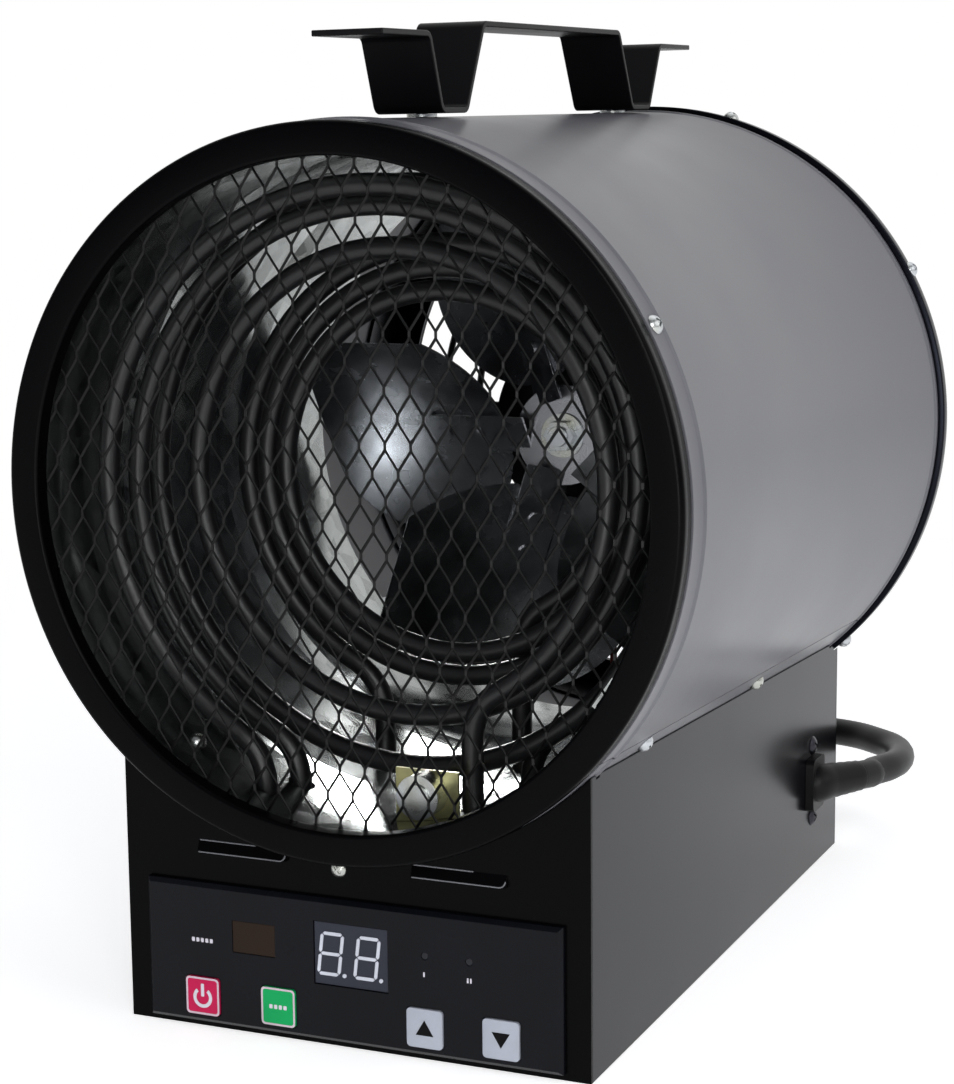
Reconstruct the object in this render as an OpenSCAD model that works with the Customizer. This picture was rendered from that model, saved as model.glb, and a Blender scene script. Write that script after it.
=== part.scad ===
// Portable electric garage heater: a flared sheet drum with a fan and heating
// loops, carried by a box base with a control panel, under a bent steel strap.
// Millimetres. X runs to the right seen from the front, Y to the rear, Z up.
// The origin lies on the floor, midway along the heater without its cord.

/* [Drum] */
// Outer radius of the drum at the front ring
ring_r = 120; // [112:1:128]
// Outer radius of the drum's casing at its rear end
casing_rear_r = 128.6; // [126:0.2:132]
// Depth of the drum from the front ring's face to the rear ring's face
drum_len = 310; // [295:1:330]
// Gap between the floor and the drum where it is widest
drum_lift = 55.2; // [51:0.2:64]
// Sheet thickness of the casing
casing_t = 1.2; // [0.8:0.1:1.6]
// Angle between the casing's lower edge and the base's top edge, at the front
seam_over_a = 3.56; // [2.5:0.02:4.5]
// Height of the pressed bead near each end of the casing
bead_h = 0.8; // [0.4:0.1:1.2]

/* [Front ring and grille] */
// Depth of the front ring's rim
ring_depth = 7.5; // [6.5:0.1:8]
// Width of the front ring's face
ring_face_w = 11; // [10:0.5:14]
// Sheet thickness of the front ring
ring_t = 1.2; // [0.8:0.1:1.4]
// Thickness of the expanded metal grille
grille_t = 1.2; // [0.8:0.1:1.5]
// Width of one diamond of the grille
diamond_w = 12; // [11:0.5:16]
// Height of one diamond of the grille
diamond_h = 23.5; // [22:0.5:28]
// Width of a strand of the grille
strand_w = 1.5; // [1:0.1:2]

/* [Rear ring and guard] */
// How far the rear ring's rim stands out over the casing
rim_over = 2.2; // [1.8:0.1:3]
// Depth of the rear ring's rim
rear_rim_depth = 6.5; // [5:0.1:7]
// Width of the rear ring's flange
rear_flange_w = 16.8; // [16:0.1:20]
// Radius of a wire of the rear guard
guard_wire_r = 1.5; // [1.2:0.1:1.8]
// Number of rings in the rear guard
guard_rings = 7; // [5:1:8]
// Number of spokes in the rear guard
guard_spokes = 6; // [4:1:8]

/* [Liner] */
// How far the bright liner stands back from the front ring's opening
liner_step = 3.6; // [3:0.1:4]
// Gap between the liner and the casing at the liner's rear edge
liner_back_gap = 11.4; // [9:0.2:13]
// Sheet thickness of the liner
liner_t = 0.8; // [0.6:0.1:1]
// How far the liner reaches past the middle of the fan blades
liner_past = 12; // [6:1:16]

/* [Heating elements] */
// Radius of a heating tube
tube_r = 3.75; // [3:0.05:4]
// Distance from the liner to the centre of the widest loops' tube
loop_in = 12.6; // [11:0.2:16]
// Distance from the front ring's face to the first loop
loop_y = 31; // [27:0.5:33]
// Least distance between the centres of loops along the drum
loop_pitch = 16; // [14:0.5:17]
// Clearance round a heating tube where it passes through a sheet
tube_gap = 1; // [0.5:0.1:1.5]

/* [Fan] */
// Gap between the blade tips and the liner
tip_gap = 7.6; // [5:0.2:12]
// Number of fan blades
blade_count = 5; // [4:1:5]
// Sheet thickness of a blade
blade_t = 1; // [0.8:0.1:1.4]
// Pitch of a blade in degrees
blade_pitch = 35; // [28:1:38]
// Radius of a blade's camber
camber_r = 160; // [140:1:220]
// Distance from the rear ring's face to the middle of the blades
fan_back = 106; // [104:0.5:110]
// Radius of the disc at the middle of the spider
disc_r = 20; // [17:0.5:21]

/* [Motor] */
// Outer radius of the motor's housing
motor_r = 42; // [41:0.5:50]
// Length of the motor's housing
motor_len = 52; // [50:0.5:54]
// Radius of the motor's shaft
shaft_r = 4; // [3:0.1:4.5]
// Radial running clearance of the shaft in its bearings
run_gap = 0.04; // [0.02:0.01:0.08]

/* [Strap] */
// Width of the carrying strap
strap_w = 25.4; // [20:0.2:32]
// Thickness of the strap
strap_t = 2; // [1.5:0.1:3]
// Inner radius of the strap's bends
strap_bend_r = 2.5; // [2:0.5:4]
// Height of the strap's end flanges over its feet
flange_h = 27; // [20:0.5:32]
// Height of the strap's middle over its feet
grip_h = 31.3; // [28:0.1:38]
// Radius of the hanging hole in each end flange
hang_hole_r = 3.3; // [2.5:0.1:4]

/* [Base] */
// Outer width of the base
base_w = 171; // [165:1:180]
// Distance from the front ring's face to the base's front face
base_front_y = 12; // [11:0.5:14]
// Distance from the rear ring's face to the base's rear face
base_back = 1; // [1:1:12]
// Sheet thickness of the base
base_t = 1.2; // [0.8:0.1:1.6]
// Clearance between the base's sheets and the drum
base_gap = 0.3; // [0.2:0.05:0.5]

/* [Control panel] */
// Distance from the base's side to the control bezel
bezel_side = 8.8; // [7:0.2:10]
// Height of the control bezel
bezel_h = 49.4; // [48:0.2:52]
// Thickness of the control bezel
bezel_t = 3; // [2.5:0.1:3.5]
// Chamfer along the bezel's edges
bezel_chamfer = 1.4; // [0.8:0.1:1.8]
// Width of a push button
button_w = 12.9; // [11:0.1:14]
// Height of a push button
button_h = 13.3; // [11:0.1:13.6]
// How far a button stands out of the bezel
button_out = 0.7; // [0.5:0.1:1.2]
// Travel of a push button
button_travel = 0.6; // [0.4:0.1:0.7]
// Width of the display
display_w = 27; // [22:0.5:30]
// Height of the display
display_h = 21.4; // [18:0.2:22]

/* [Cord] */
// Diameter of the cord
cord_d = 12; // [10:0.5:12]
// Outer radius of the coil, at the cord's centre
coil_r = 80; // [76:0.5:82]
// Spacing of the turns in one layer of the coil
coil_step = 15; // [14.8:0.1:16]
// Radius of the plug's body
plug_r = 18; // [16:0.5:22]
// Length of the plug's body
plug_len = 44; // [36:1:50]

/* [Hidden] */
$fn = 72;
over = 1;         // overrun of every cut
fit = 0.1;        // gap between still pieces that are fitted together
slip = 0.25;      // gap round pieces that slide or drop in
far = 400;        // longer than anything that is cut away

// Drum: slope of the flare, and the places of its edges
rear_rim_r = casing_rear_r + rim_over;
axis_z = max(ring_r, rear_rim_r) + drum_lift;
flare_a = atan((casing_rear_r - ring_r) / drum_len);
edge_gap = 1;
casing_y0 = ring_depth + edge_gap;
casing_y1 = drum_len - rear_rim_depth - edge_gap;
bead_w = 2.6;
bead_in = 10;     // distance of each bead from the end of the casing
front_bead_y = casing_y0 + bead_in;
rear_bead_y = casing_y1 - bead_in / 2;
seam_gap = 0.5;
strip_t = 1;
strip_lap_a = 2.5;
strip_w_a = 12.5;
function drum_r(y) = ring_r + (casing_rear_r - ring_r) * y / drum_len;
function inner_r(y) = drum_r(y) - casing_t;

// Rings
open_r = ring_r - ring_face_w;
rear_open_r = rear_rim_r - rear_flange_w;
skirt_gap = 0.15;
skirt_r = inner_r(casing_y0) - skirt_gap;
skirt_end = 22;
lip_depth = 6;
ring_round = 1.6;
rear_skirt_r = inner_r(casing_y1 - skirt_end) - skirt_gap;
grille_y = lip_depth;
grille_r = open_r + 2 * ring_t;

// Liner, straight from its front edge to its rear edge
fan_y = drum_len - fan_back;
liner_y0 = grille_y + grille_t + fit;
liner_end = fan_y + liner_past;
liner_r = open_r + liner_step;
liner_back_r = inner_r(liner_end) - liner_back_gap - liner_t;
function liner_at(y) =
    liner_r + (liner_back_r - liner_r) * (y - liner_y0) / (liner_end - liner_y0);

// Strap, in the frame that lies along the drum's top
leg_top_shares = [0.1871, 0.3323, 0.7677, 0.9258];
leg_foot_shares = [0.2161, 0.2806, 0.8161, 0.8806];
leg_top = drum_len * leg_top_shares;
leg_foot = drum_len * leg_foot_shares;
flange_l = [36, 38];
tip_front = leg_top[0] - flange_l[0];
tip_rear = leg_top[3] + flange_l[1];
foot_lift = 1;    // thickness of the washers under the strap's feet
strap_rear_y = tip_rear * cos(flare_a)
    - (flange_h + foot_lift - strap_t) * sin(flare_a);
mid_y = strap_rear_y / 2;
foot_y = [(leg_foot[0] + leg_foot[1]) / 2, (leg_foot[2] + leg_foot[3]) / 2];
hang_y = [(tip_front + leg_top[0]) / 2, (leg_top[3] + tip_rear) / 2];

// Screws: head radius, head height and shank radius of each kind
drum_head_r = 3.3;
drum_head_h = 2.4;
drum_shank_r = 1.8;
drum_shank_l = 6;
recess_w = 0.8;
recess_share = 0.55;
front_screw_a = 61.6;
rear_screw_a = [61.5, 16.5];
front_screw_y = (casing_y0 + front_bead_y) / 2;
rear_screw_y = drum_len - rear_rim_depth / 2;
seam_shares = [0.14, 0.56];
seam_back_a = 2.2;  // from the base's top edge to a seam screw

// Base
base_half = base_w / 2;
base_rear_y = drum_len - base_back;
base_len = base_rear_y - base_front_y;
saddle_back = [179, 25];  // from the base's rear face
saddle_side = 25.5;
saddle_rim = 12;
saddle_w = base_half - saddle_side;
saddle_h = drum_lift - base_t - saddle_rim;
front_lap = 12;
louvre_share = 0.234;
louvre_drop = 9.3;  // from the front ring down to the middle of a louvre
louvre_x = base_w * louvre_share;
louvre_z = axis_z - sqrt(ring_r * ring_r - louvre_x * louvre_x) - louvre_drop;
louvre_l = 34;
louvre_r = 2.6;
louvre_t = 0.8;
louvre_out = 1.4;
panel_screw_drop = 4.6;
panel_screw = [-panel_screw_drop * 0.87, axis_z - ring_r - panel_screw_drop];
panel_head_r = 2.8;
vent_count = 9;
vent_w = 4;
vent_step = 9;
vent_z = 22;
vent_rim = 9.2;
vent_h = drum_lift - vent_z - vent_rim;
rear_screw_x = base_half - 10;
rear_screw_z = 12;

// Heating elements
// Each element: first angle, last angle, the two leg places along the drum,
// then radii and depths at even steps of the angle, written as functions
loop_r = liner_r - loop_in;
leg_turn_r = 14;
ring_steps = 24;
tube_sides = 6;
plate_drop = 9;
leg_out = 9;
plate_z = axis_z - ring_r - plate_drop;
leg_end_z = plate_z - leg_out;
plate_t = 1.2;
plate_x = 54;
plate_y0 = 18;
plate_y1 = 122;
bush_r = 7;
bush_h = 2.5;
bush_nut_h = 4;
insulator_r = 3.4;
insulator_h = 4.5;
stud_r = 1.25;
stud_l = 9;

// Control panel, as seen from the front
bezel_z0 = 2.2;
bezel_w = base_w - 2 * bezel_side;
bezel_y = base_front_y - bezel_t;
bezel_zc = bezel_z0 + bezel_h / 2;
window_in = [5.7, 1.1];
window_w = bezel_w - 2 * window_in[0];
window_h = bezel_h - 2 * window_in[1];
button_shares = [-0.3598, -0.1695, 0.1851, 0.3625];
button_z_share = 0.1964;
button_x = bezel_w * button_shares;
button_z = bezel_z0 + bezel_h * button_z_share;
button_round = 1.4;
button_lip = 0.9;
button_lip_t = 1;
stem_r = 2;
stem_l = 1.65;
display_x_share = 0.0091;
display_z_share = 0.6195;
display_x = bezel_w * display_x_share;
display_z = bezel_z0 + bezel_h * display_z_share;
display_in = 0.4;
segment_t = 0.25;
segment_w = 1.15;
digit_shares = [0.3037, 0.7196, 0.2333];
digit_w = display_w * digit_shares[0];
digit_h = display_h * digit_shares[1];
digit_x = display_w * digit_shares[2];
dot_r = 0.75;
ir_shares = [-0.2295, 0.652];
ir_x = bezel_w * ir_shares[0];
ir_z = bezel_z0 + bezel_h * ir_shares[1];
ir_w = 16.2;
ir_h = 11;
lamp_shares = [0.1855, 0.2891];
lamp_z_share = 0.694;
lamp_x = bezel_w * lamp_shares;
lamp_z = bezel_z0 + bezel_h * lamp_z_share;
lamp_r = 1.2;
board_back = 8;
board_y = base_front_y + board_back;
board_t = 1.6;
board_in = [6.2, 3.7];
board_w = bezel_w - 2 * board_in[0];
board_h = bezel_h - 2 * board_in[1];
post_r = 2;
post_in = [8.3, 7.7];
post_x = bezel_w / 2 - post_in[0];
post_dz = bezel_h / 2 - post_in[1];
switch_w = 6;
switch_h = 3.5;
plunger_r = 1.7;
plunger_h = 1;

// Fan and motor
fan_r = liner_at(fan_y) - tip_gap;
disc_back = 2;
disc_y = fan_y + disc_back;
disc_t = 1.6;
disc_dish = 1;
arm_t = 1.4;
arm_w = 15;
arm_r = 58;
arm_in_r = 14;
arm_gap = 0.05;
petal_shares = [0.6286, 0.419, 0.362];
petal_c = fan_r * petal_shares[0];
petal_r = fan_r * petal_shares[1];
petal_flat = fan_r * petal_shares[2];
petal_root_r = 25;
petal_root_w = 30;
blade_first_a = 36;
rivet_r = 2;
rivet_head_r = 3.4;
rivet_head_h = 1;
rivet_at = [36, 50];
motor_back = 33;
motor_y = fan_y + motor_back;
motor_wall = 1.5;
motor_mid_y = motor_y + motor_len / 2;
shaft_out = [7, 3];
shaft_front_y = disc_y - shaft_out[0];
shaft_rear_y = motor_y + motor_len + shaft_out[1];
nut_r = 6.5;
nut_h = 4;
nut_flange_r = 9;
nut_flange_h = 1.2;
core_len = 26;
rotor_r = 20;
air_gap = 0.5;
bearing_r = 8;
bearing_len = 6;
boss_t = 2.5;
winding_in = 23;
winding_out = 35;
winding_len = 8;
bracket_t = 2;
bracket_w = 18;
bracket_hub_r = 36;
bracket_a = [45, 135, 225, 315];
bracket_foot_in = 6.3;
bracket_bend_in = [15, 3];
bracket_foot_r = rear_rim_r - bracket_foot_in;
bracket_bend_r = [rear_open_r - bracket_bend_in[0], rear_open_r - bracket_bend_in[1]];
bolt_at_r = 30;
bolt_head_r = 4;
bolt_head_h = 3;
bolt_r = 2;
foot_screw_in = 10.2;
foot_screw_r = rear_rim_r - foot_screw_in;

// Electric parts in the base
power_board_size = [80, 78, 1.6];
power_board_in = [33.5, 159, 12];
power_board_at = [power_board_in[0] - base_half, base_rear_y - power_board_in[1], power_board_in[2]];
board_top = power_board_at[2] + power_board_size[2] + fit;
relay_size = [20, 16, 20];
relay_on_board = [[8, 6], [32, 6]];
transformer_size = [34, 28, 26];
transformer_on_board = [6, 40];
transformer_at = [
    power_board_at[0] + transformer_on_board[0], power_board_at[1] + transformer_on_board[1]
];
block_size = [22, 26, 16];
block_in = [45.5, 97];
block_at = [base_half - block_in[0], base_rear_y - block_in[1]];
lead_r = 1.6;
lead_gap = 0.8;

// Cord: where it leaves the base, and the points of its free stretch, chosen
// by hand in the drum's frame, from the relief's tip to the coil
relief_back = 40;
relief_y = base_rear_y - relief_back;
relief_z = 37;
relief_a = 55;
relief_l = 22;
relief_r0 = 8.6;
relief_r1 = 6.7;
relief_block = [4, 22, 22];
relief_screw_dy = 2;
relief_screw_dz = 15.2;
relief_head_r = 4;
relief_head_h = 2;
clamp_size = [5, 16, 20];
cord_r = cord_d / 2;
coil_at = [-98, 432];
coil_lead = 12;
coil_turns = 3.5;
coil_reverse = [1.5, 2];
coil_z0 = cord_r + 0.05;
coil_z1 = coil_z0 + cord_d + 0.9;
plug_taper_l = 24;
plug_taper_r = 9;
blade_size = [2, 6.4, 18];
blade_apart = 12;
pin_r = 2.4;
pin_l = 20;
relief_tip = [
    base_half + relief_block[0] - 1 + (relief_l + fit) * cos(relief_a),
    relief_y + (relief_l + fit) * sin(relief_a),
    relief_z
];
cord_mid_points = [
    [105, 296, 37], [109.5, 307, 37], [110.8, 318, 37], [108.6, 330, 37],
    [103, 341, 37], [93, 350, 37], [83, 357, 37], [71, 361, 37],
    [58, 362, 37], [40, 361, 35], [18, 359, 31], [-6, 357, 24],
    [-30, 354, 16], [-52, 352, 10], [-70, 352, 7]
];

// Vectors
function unit(v) = v / norm(v);
function lerp(a, b, t) = a + (b - a) * t;
function ease(t) = t * t * (3 - 2 * t);

// Points of the rings of a tube that follows a path, with the given up
function path_dir(p, i) =
    i == 0 ? unit(p[1] - p[0])
    : i == len(p) - 1 ? unit(p[i] - p[i - 1])
    : unit(unit(p[i] - p[i - 1]) + unit(p[i + 1] - p[i]));
function tube_ring(p, i, r, sides, up) =
    let (d = path_dir(p, i), b = unit(cross(d, up)), n = cross(b, d))
    [for (k = [0:sides - 1])
        let (a = 360 * (k + 0.5) / sides)
        p[i] + r * (cos(a) * b + sin(a) * n)];
function tube_points(p, r, sides, up) =
    [for (i = [0:len(p) - 1]) each tube_ring(p, i, r, sides, up)];
function tube_faces(n, s) = concat(
    [for (i = [0:n - 2], k = [0:s - 1])
        [i * s + k, (i + 1) * s + k, (i + 1) * s + (k + 1) % s]],
    [for (i = [0:n - 2], k = [0:s - 1])
        [i * s + k, (i + 1) * s + (k + 1) % s, i * s + (k + 1) % s]],
    [for (k = [1:s - 2]) [0, k, k + 1]],
    [for (k = [1:s - 2]) [(n - 1) * s, (n - 1) * s + k + 1, (n - 1) * s + k]]
);
module tube(p, r, sides, up) {
    polyhedron(tube_points(p, r, sides, up), tube_faces(len(p), sides));
}
// Least gap between stretches of one tube that are more than a bend apart
function least_gap(p, r, skip) =
    min([for (i = [0:len(p) - 1], j = [0:len(p) - 1])
        if (j > i + skip) norm(p[i] - p[j])]) - 2 * r;

// Smooth curve through hand-chosen points
function spline_at(a, b, c, d, t) =
    0.5 * ((2 * b) + (c - a) * t + (2 * a - 5 * b + 4 * c - d) * t * t
        + (3 * b - a - 3 * c + d) * t * t * t);

// Frames: the part's origin, the drum's axis, a place on the drum's skin
module placed() {
    translate([0, -mid_y, 0]) children();
}
module along_axis(y = 0) {
    translate([0, y, axis_z]) rotate([-90, 0, 0]) children();
}
module on_skin(a, r, y) {
    translate([0, y, axis_z]) rotate([0, a, 0]) translate([0, 0, r]) children();
}
module strap_frame() {
    translate([0, 0, axis_z + ring_r]) rotate([flare_a, 0, 0]) children();
}
// Sector of a revolved profile, from one angle to another round the drum
// from its top towards +X
module sector(a0, a1) {
    along_axis() rotate([0, 0, a0 - 90]) rotate_extrude(angle = a1 - a0, $fn = 144)
        children();
}
module revolved() {
    along_axis() rotate_extrude($fn = 144) children();
}
// Solid cone that follows the drum's skin, larger by the given gap
module drum_solid(gap) {
    along_axis() cylinder(r1 = ring_r + gap, r2 = casing_rear_r + gap, h = drum_len, $fn = 144);
    along_axis(drum_len - rear_rim_depth - gap)
        cylinder(r = rear_rim_r + gap, h = far, $fn = 144);
    for (y = [front_bead_y, rear_bead_y]) along_axis(y - bead_w / 2 - gap)
        cylinder(r = drum_r(y) + bead_h + gap, h = bead_w + 2 * gap, $fn = 144);
}

// Screw with a low dome and a cross recess, its head's seat at z = 0
module screw(head_r, head_h, shank_r, shank_l) {
    dome_r = (head_r * head_r + head_h * head_h) / (2 * head_h);
    difference() {
        union() {
            intersection() {
                translate([0, 0, head_h - dome_r]) sphere(dome_r);
                cylinder(r = head_r, h = head_h);
            }
            translate([0, 0, -shank_l]) cylinder(r = shank_r, h = shank_l + head_h / 4);
        }
        for (a = [45, 135]) rotate([0, 0, a])
            translate([-head_r * recess_share, -recess_w / 2, head_h * (1 - recess_share)])
                cube([2 * head_r * recess_share, recess_w, head_h]);
    }
}
module hole(shank_r, depth) {
    translate([0, 0, -depth]) cylinder(r = shank_r + fit, h = 2 * depth);
}

// Places of the screws round the drum
module front_screw_places() {
    for (s = [-1, 1]) on_skin(s * front_screw_a, drum_r(front_screw_y), front_screw_y)
        rotate([flare_a, 0, 0]) children();
}
module rear_screw_places() {
    for (a = rear_screw_a, s = [-1, 1]) on_skin(s * a, rear_rim_r, rear_screw_y) children();
}
function base_edge_a(y) = 180 - asin(base_half / drum_r(y));
seam_a = base_edge_a(0) - seam_over_a;
strip_a = [seam_a - strip_lap_a, seam_a - strip_lap_a + strip_w_a];
module seam_screw_places() {
    for (f = seam_shares, s = [-1, 1]) {
        y = base_front_y + base_len * f;
        on_skin(s * (base_edge_a(y) - seam_back_a), drum_r(y), y)
            rotate([flare_a, 0, 0]) children();
    }
    for (s = [-1, 1])
        on_skin(s * (180 - asin(base_half / rear_rim_r) - seam_back_a), rear_rim_r, rear_screw_y)
            children();
}
module foot_places() {
    strap_frame() for (y = foot_y) translate([0, y, foot_lift]) children();
}

// Casing of the drum: a flared sheet with a bead near each end
module casing_profile() {
    function bump(y) = [
        [drum_r(y - bead_w / 2), y - bead_w / 2],
        [drum_r(y) + bead_h * 0.85, y - bead_w / 5],
        [drum_r(y) + bead_h * 0.85, y + bead_w / 5],
        [drum_r(y + bead_w / 2), y + bead_w / 2]
    ];
    polygon(concat(
        [[inner_r(casing_y0), casing_y0], [drum_r(casing_y0), casing_y0]],
        bump(front_bead_y), bump(rear_bead_y),
        [[drum_r(casing_y1), casing_y1], [inner_r(casing_y1), casing_y1]]
    ));
}
module drum_casing() {
    color("#808085") placed() difference() {
        sector(-seam_a, seam_a) casing_profile();
        front_screw_places() hole(drum_shank_r, 4 * casing_t);
        foot_places() hole(bolt_r, 8 * casing_t);
    }
}

// Lower part of the drum, inside the base, with holes for the element legs
module leg_places() {
    for (e = elements, k = [0, 1])
        translate([e[k][0][0], e[k][0][1], 0]) children();
}
module drum_cradle() {
    gap_a = seam_gap / ring_r * 180 / PI;
    color("#808085") placed() difference() {
        sector(seam_a + gap_a, 360 - seam_a - gap_a) casing_profile();
        translate([0, 0, axis_z - ring_r - over - casing_rear_r / 4])
            leg_places() cylinder(r = tube_r + tube_gap, h = casing_rear_r / 2);
        seam_screw_places() hole(drum_shank_r, 4 * casing_t);
        translate([0, motor_mid_y, axis_z - casing_rear_r - over])
            cylinder(r = 3 * lead_r, h = casing_rear_r / 2);
    }
}
// Strips inside the drum that join the casing to its lower part
module seam_strips() {
    y0 = skirt_end + edge_gap;
    y1 = casing_y1 - skirt_end - edge_gap;
    color("silver") placed() difference() {
        for (s = [-1, 1])
            sector(s > 0 ? strip_a[0] : -strip_a[1], s > 0 ? strip_a[1] : -strip_a[0])
                polygon([
                    [inner_r(y0) - fit - strip_t, y0], [inner_r(y0) - fit, y0],
                    [inner_r(y1) - fit, y1], [inner_r(y1) - fit - strip_t, y1]
                ]);
        seam_screw_places() hole(drum_shank_r, 4 * casing_t);
    }
}

// Front ring: rolled rim, flat face, inner lip and a skirt inside the casing
module front_ring() {
    color("#141417") placed() difference() {
        revolved() polygon([
            [open_r, lip_depth], [open_r, ring_round / 2], [open_r + ring_round / 2, 0],
            [ring_r - ring_round, 0], [ring_r - ring_round * 0.4, ring_round * 0.4],
            [ring_r, ring_round], [ring_r, ring_depth], [skirt_r, ring_depth],
            [skirt_r, skirt_end], [skirt_r - ring_t, skirt_end],
            [skirt_r - ring_t, ring_t], [open_r + ring_t, ring_t],
            [open_r + ring_t, lip_depth]
        ]);
        front_screw_places() hole(drum_shank_r, 4 * casing_t);
    }
}
// Expanded metal disc behind the ring's lip
module front_grille() {
    cols = ceil(grille_r / diamond_w);
    rows = ceil(grille_r / diamond_h);
    w = diamond_w / 2 - strand_w / 2 * sqrt(1 + pow(diamond_w / diamond_h, 2));
    h = w * diamond_h / diamond_w;
    rim = grille_r - ring_t;
    function clear(x, z) = norm([abs(x) + w / 2, abs(z) + h / 2]) < rim;
    color("#1b1b1e") placed() along_axis(grille_y) linear_extrude(grille_t)
        difference() {
            circle(r = grille_r, $fn = 144);
            intersection() {
                circle(r = rim, $fn = 144);
                union() for (i = [-cols:cols], j = [-rows:rows], k = [0, 0.5])
                    let (x = (i + k) * diamond_w, z = (j + k) * diamond_h)
                    if (clear(x, z)) translate([x, z])
                        polygon([[w, 0], [0, h], [-w, 0], [0, -h]]);
            }
        }
}

// Rear ring: rim over the casing's end, skirt inside it, flat inner flange
module rear_ring() {
    y0 = drum_len - rear_rim_depth;
    ys = casing_y1 - skirt_end;
    color("#141417") placed() difference() {
        revolved() polygon([
            [rear_skirt_r - ring_t, ys], [rear_skirt_r, ys],
            [rear_skirt_r, y0], [rear_rim_r, y0],
            [rear_rim_r, drum_len - ring_round],
            [rear_rim_r - ring_round, drum_len],
            [rear_open_r, drum_len], [rear_open_r, drum_len - ring_t],
            [rear_skirt_r - ring_t, drum_len - ring_t]
        ]);
        rear_screw_places() hole(drum_shank_r, drum_shank_l + over);
        seam_screw_places() hole(drum_shank_r, drum_shank_l + over);
        foot_screw_places() hole(drum_shank_r, 4 * ring_t);
    }
}
module foot_screw_places() {
    for (a = bracket_a) on_skin(a, foot_screw_r, drum_len) rotate([-90, 0, 0]) children();
}
// Wire guard welded to the rear ring's flange, its spokes behind its rings
module rear_guard() {
    outer = rear_open_r + guard_wire_r;
    inner = 16;
    y = drum_len + guard_wire_r + fit / 2;
    spoke_y = y + 1.6 * guard_wire_r;
    color("#1b1b1e") placed() {
        for (i = [0:guard_rings - 1])
            along_axis(y) rotate_extrude($fn = 96)
                translate([lerp(inner, outer, i / (guard_rings - 1)), 0])
                    rotate([0, 0, 22.5]) circle(r = guard_wire_r, $fn = 8);
        for (k = [0:guard_spokes - 1])
            on_skin(360 * (k + 0.5) / guard_spokes, inner, spoke_y)
                cylinder(r = guard_wire_r, h = outer - inner, $fn = 16);
        along_axis(y) cylinder(r = inner, h = ring_t);
    }
}

// Bright liner, with a flange at each end that reaches its carrier, and low
// beads that stiffen its wall
liner_bead_shares = [0.25, 0.31, 0.37, 0.6, 0.66, 0.72];
function liner_skin(out, way) = [for (i = way > 0 ? [0:7] : [7:-1:0]) let (
        y = i == 0 ? liner_y0 + out : i == 7 ? liner_end - out
            : liner_y0 + liner_bead_shares[i - 1] * (liner_end - liner_y0)
    ) [liner_at(y) + out + (i % 3 == 2 ? liner_bead_h : 0), y]];
module inner_liner() {
    front_r = skirt_r - ring_t - fit;
    rear_r = inner_r(liner_end - liner_t) - strip_t - slip - fit;
    color("#a7aba8") placed() difference() {
        revolved() polygon(concat(
            [[front_r, liner_y0], [front_r, liner_y0 + liner_t]], liner_skin(liner_t, 1),
            [[rear_r, liner_end - liner_t], [rear_r, liner_end]], liner_skin(0, -1)
        ));
        translate([0, 0, axis_z - ring_r])
            leg_places() cylinder(r = tube_r + tube_gap, h = ring_r / 2);
        liner_screw_places() hole(bolt_r, 4 * casing_t);
    }
}
liner_bead_h = 0.9;
liner_screw_a = 143.5;
liner_screw_y = 30;
module liner_screw_places() {
    for (s = [-1, 1]) on_skin(s * liner_screw_a, liner_at(liner_screw_y), liner_screw_y)
        rotate([180, 0, 0]) children();
}

// Heating elements. Angles are counted from +X towards +Z, and each tube
// starts at its left leg, goes over the top to the right and ends at its
// right leg. r_at and y_at give the loop's radius and depth for a share of
// the way round.
function loop_point(a, r, y) = [r * cos(a), y, axis_z + r * sin(a)];
function outer_r(t) = loop_r;
function outer_y(t) = loop_y + loop_pitch
    * (1.9 * ease(min(1, max(0, t - 0.12) / 0.44)) + 0.66 * max(0, t - 0.5) / 0.5);
function middle_r(t) = loop_r - (loop_r - middle_loop_r) * ease(min(1, t / 0.62));
function middle_y(t) =
    loop_y + loop_pitch * (1 + 0.625 * ease(min(1, t / 0.6)) - 0.8 * ease(max(0, t - 0.6) / 0.4));
function inner_r_at(t) = lerp(inner_loop_r[0], inner_loop_r[1], t);
function inner_y(t) =
    loop_y + loop_pitch * (4.1 - 0.1 * t + 0.85 * ease(max(0, t - 0.86) / 0.14));
middle_loop_share = 0.79;
inner_loop_shares = [0.83, 0.59];
middle_loop_r = loop_r * middle_loop_share;
inner_loop_r = loop_r * inner_loop_shares;
outer_span = [246, -426];
middle_span = [249, -427];
inner_span = [251, -788];
function element_at(kind, t) =
    kind == 0 ? loop_point(lerp(outer_span[0], outer_span[1], t), outer_r(t), outer_y(t))
    : kind == 1 ? loop_point(lerp(middle_span[0], middle_span[1], t), middle_r(t), middle_y(t))
    : loop_point(lerp(inner_span[0], inner_span[1], t), inner_r_at(t), inner_y(t));
function bezier(a, b, c, t) =
    (1 - t) * (1 - t) * a + 2 * t * (1 - t) * b + t * t * c;
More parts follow.
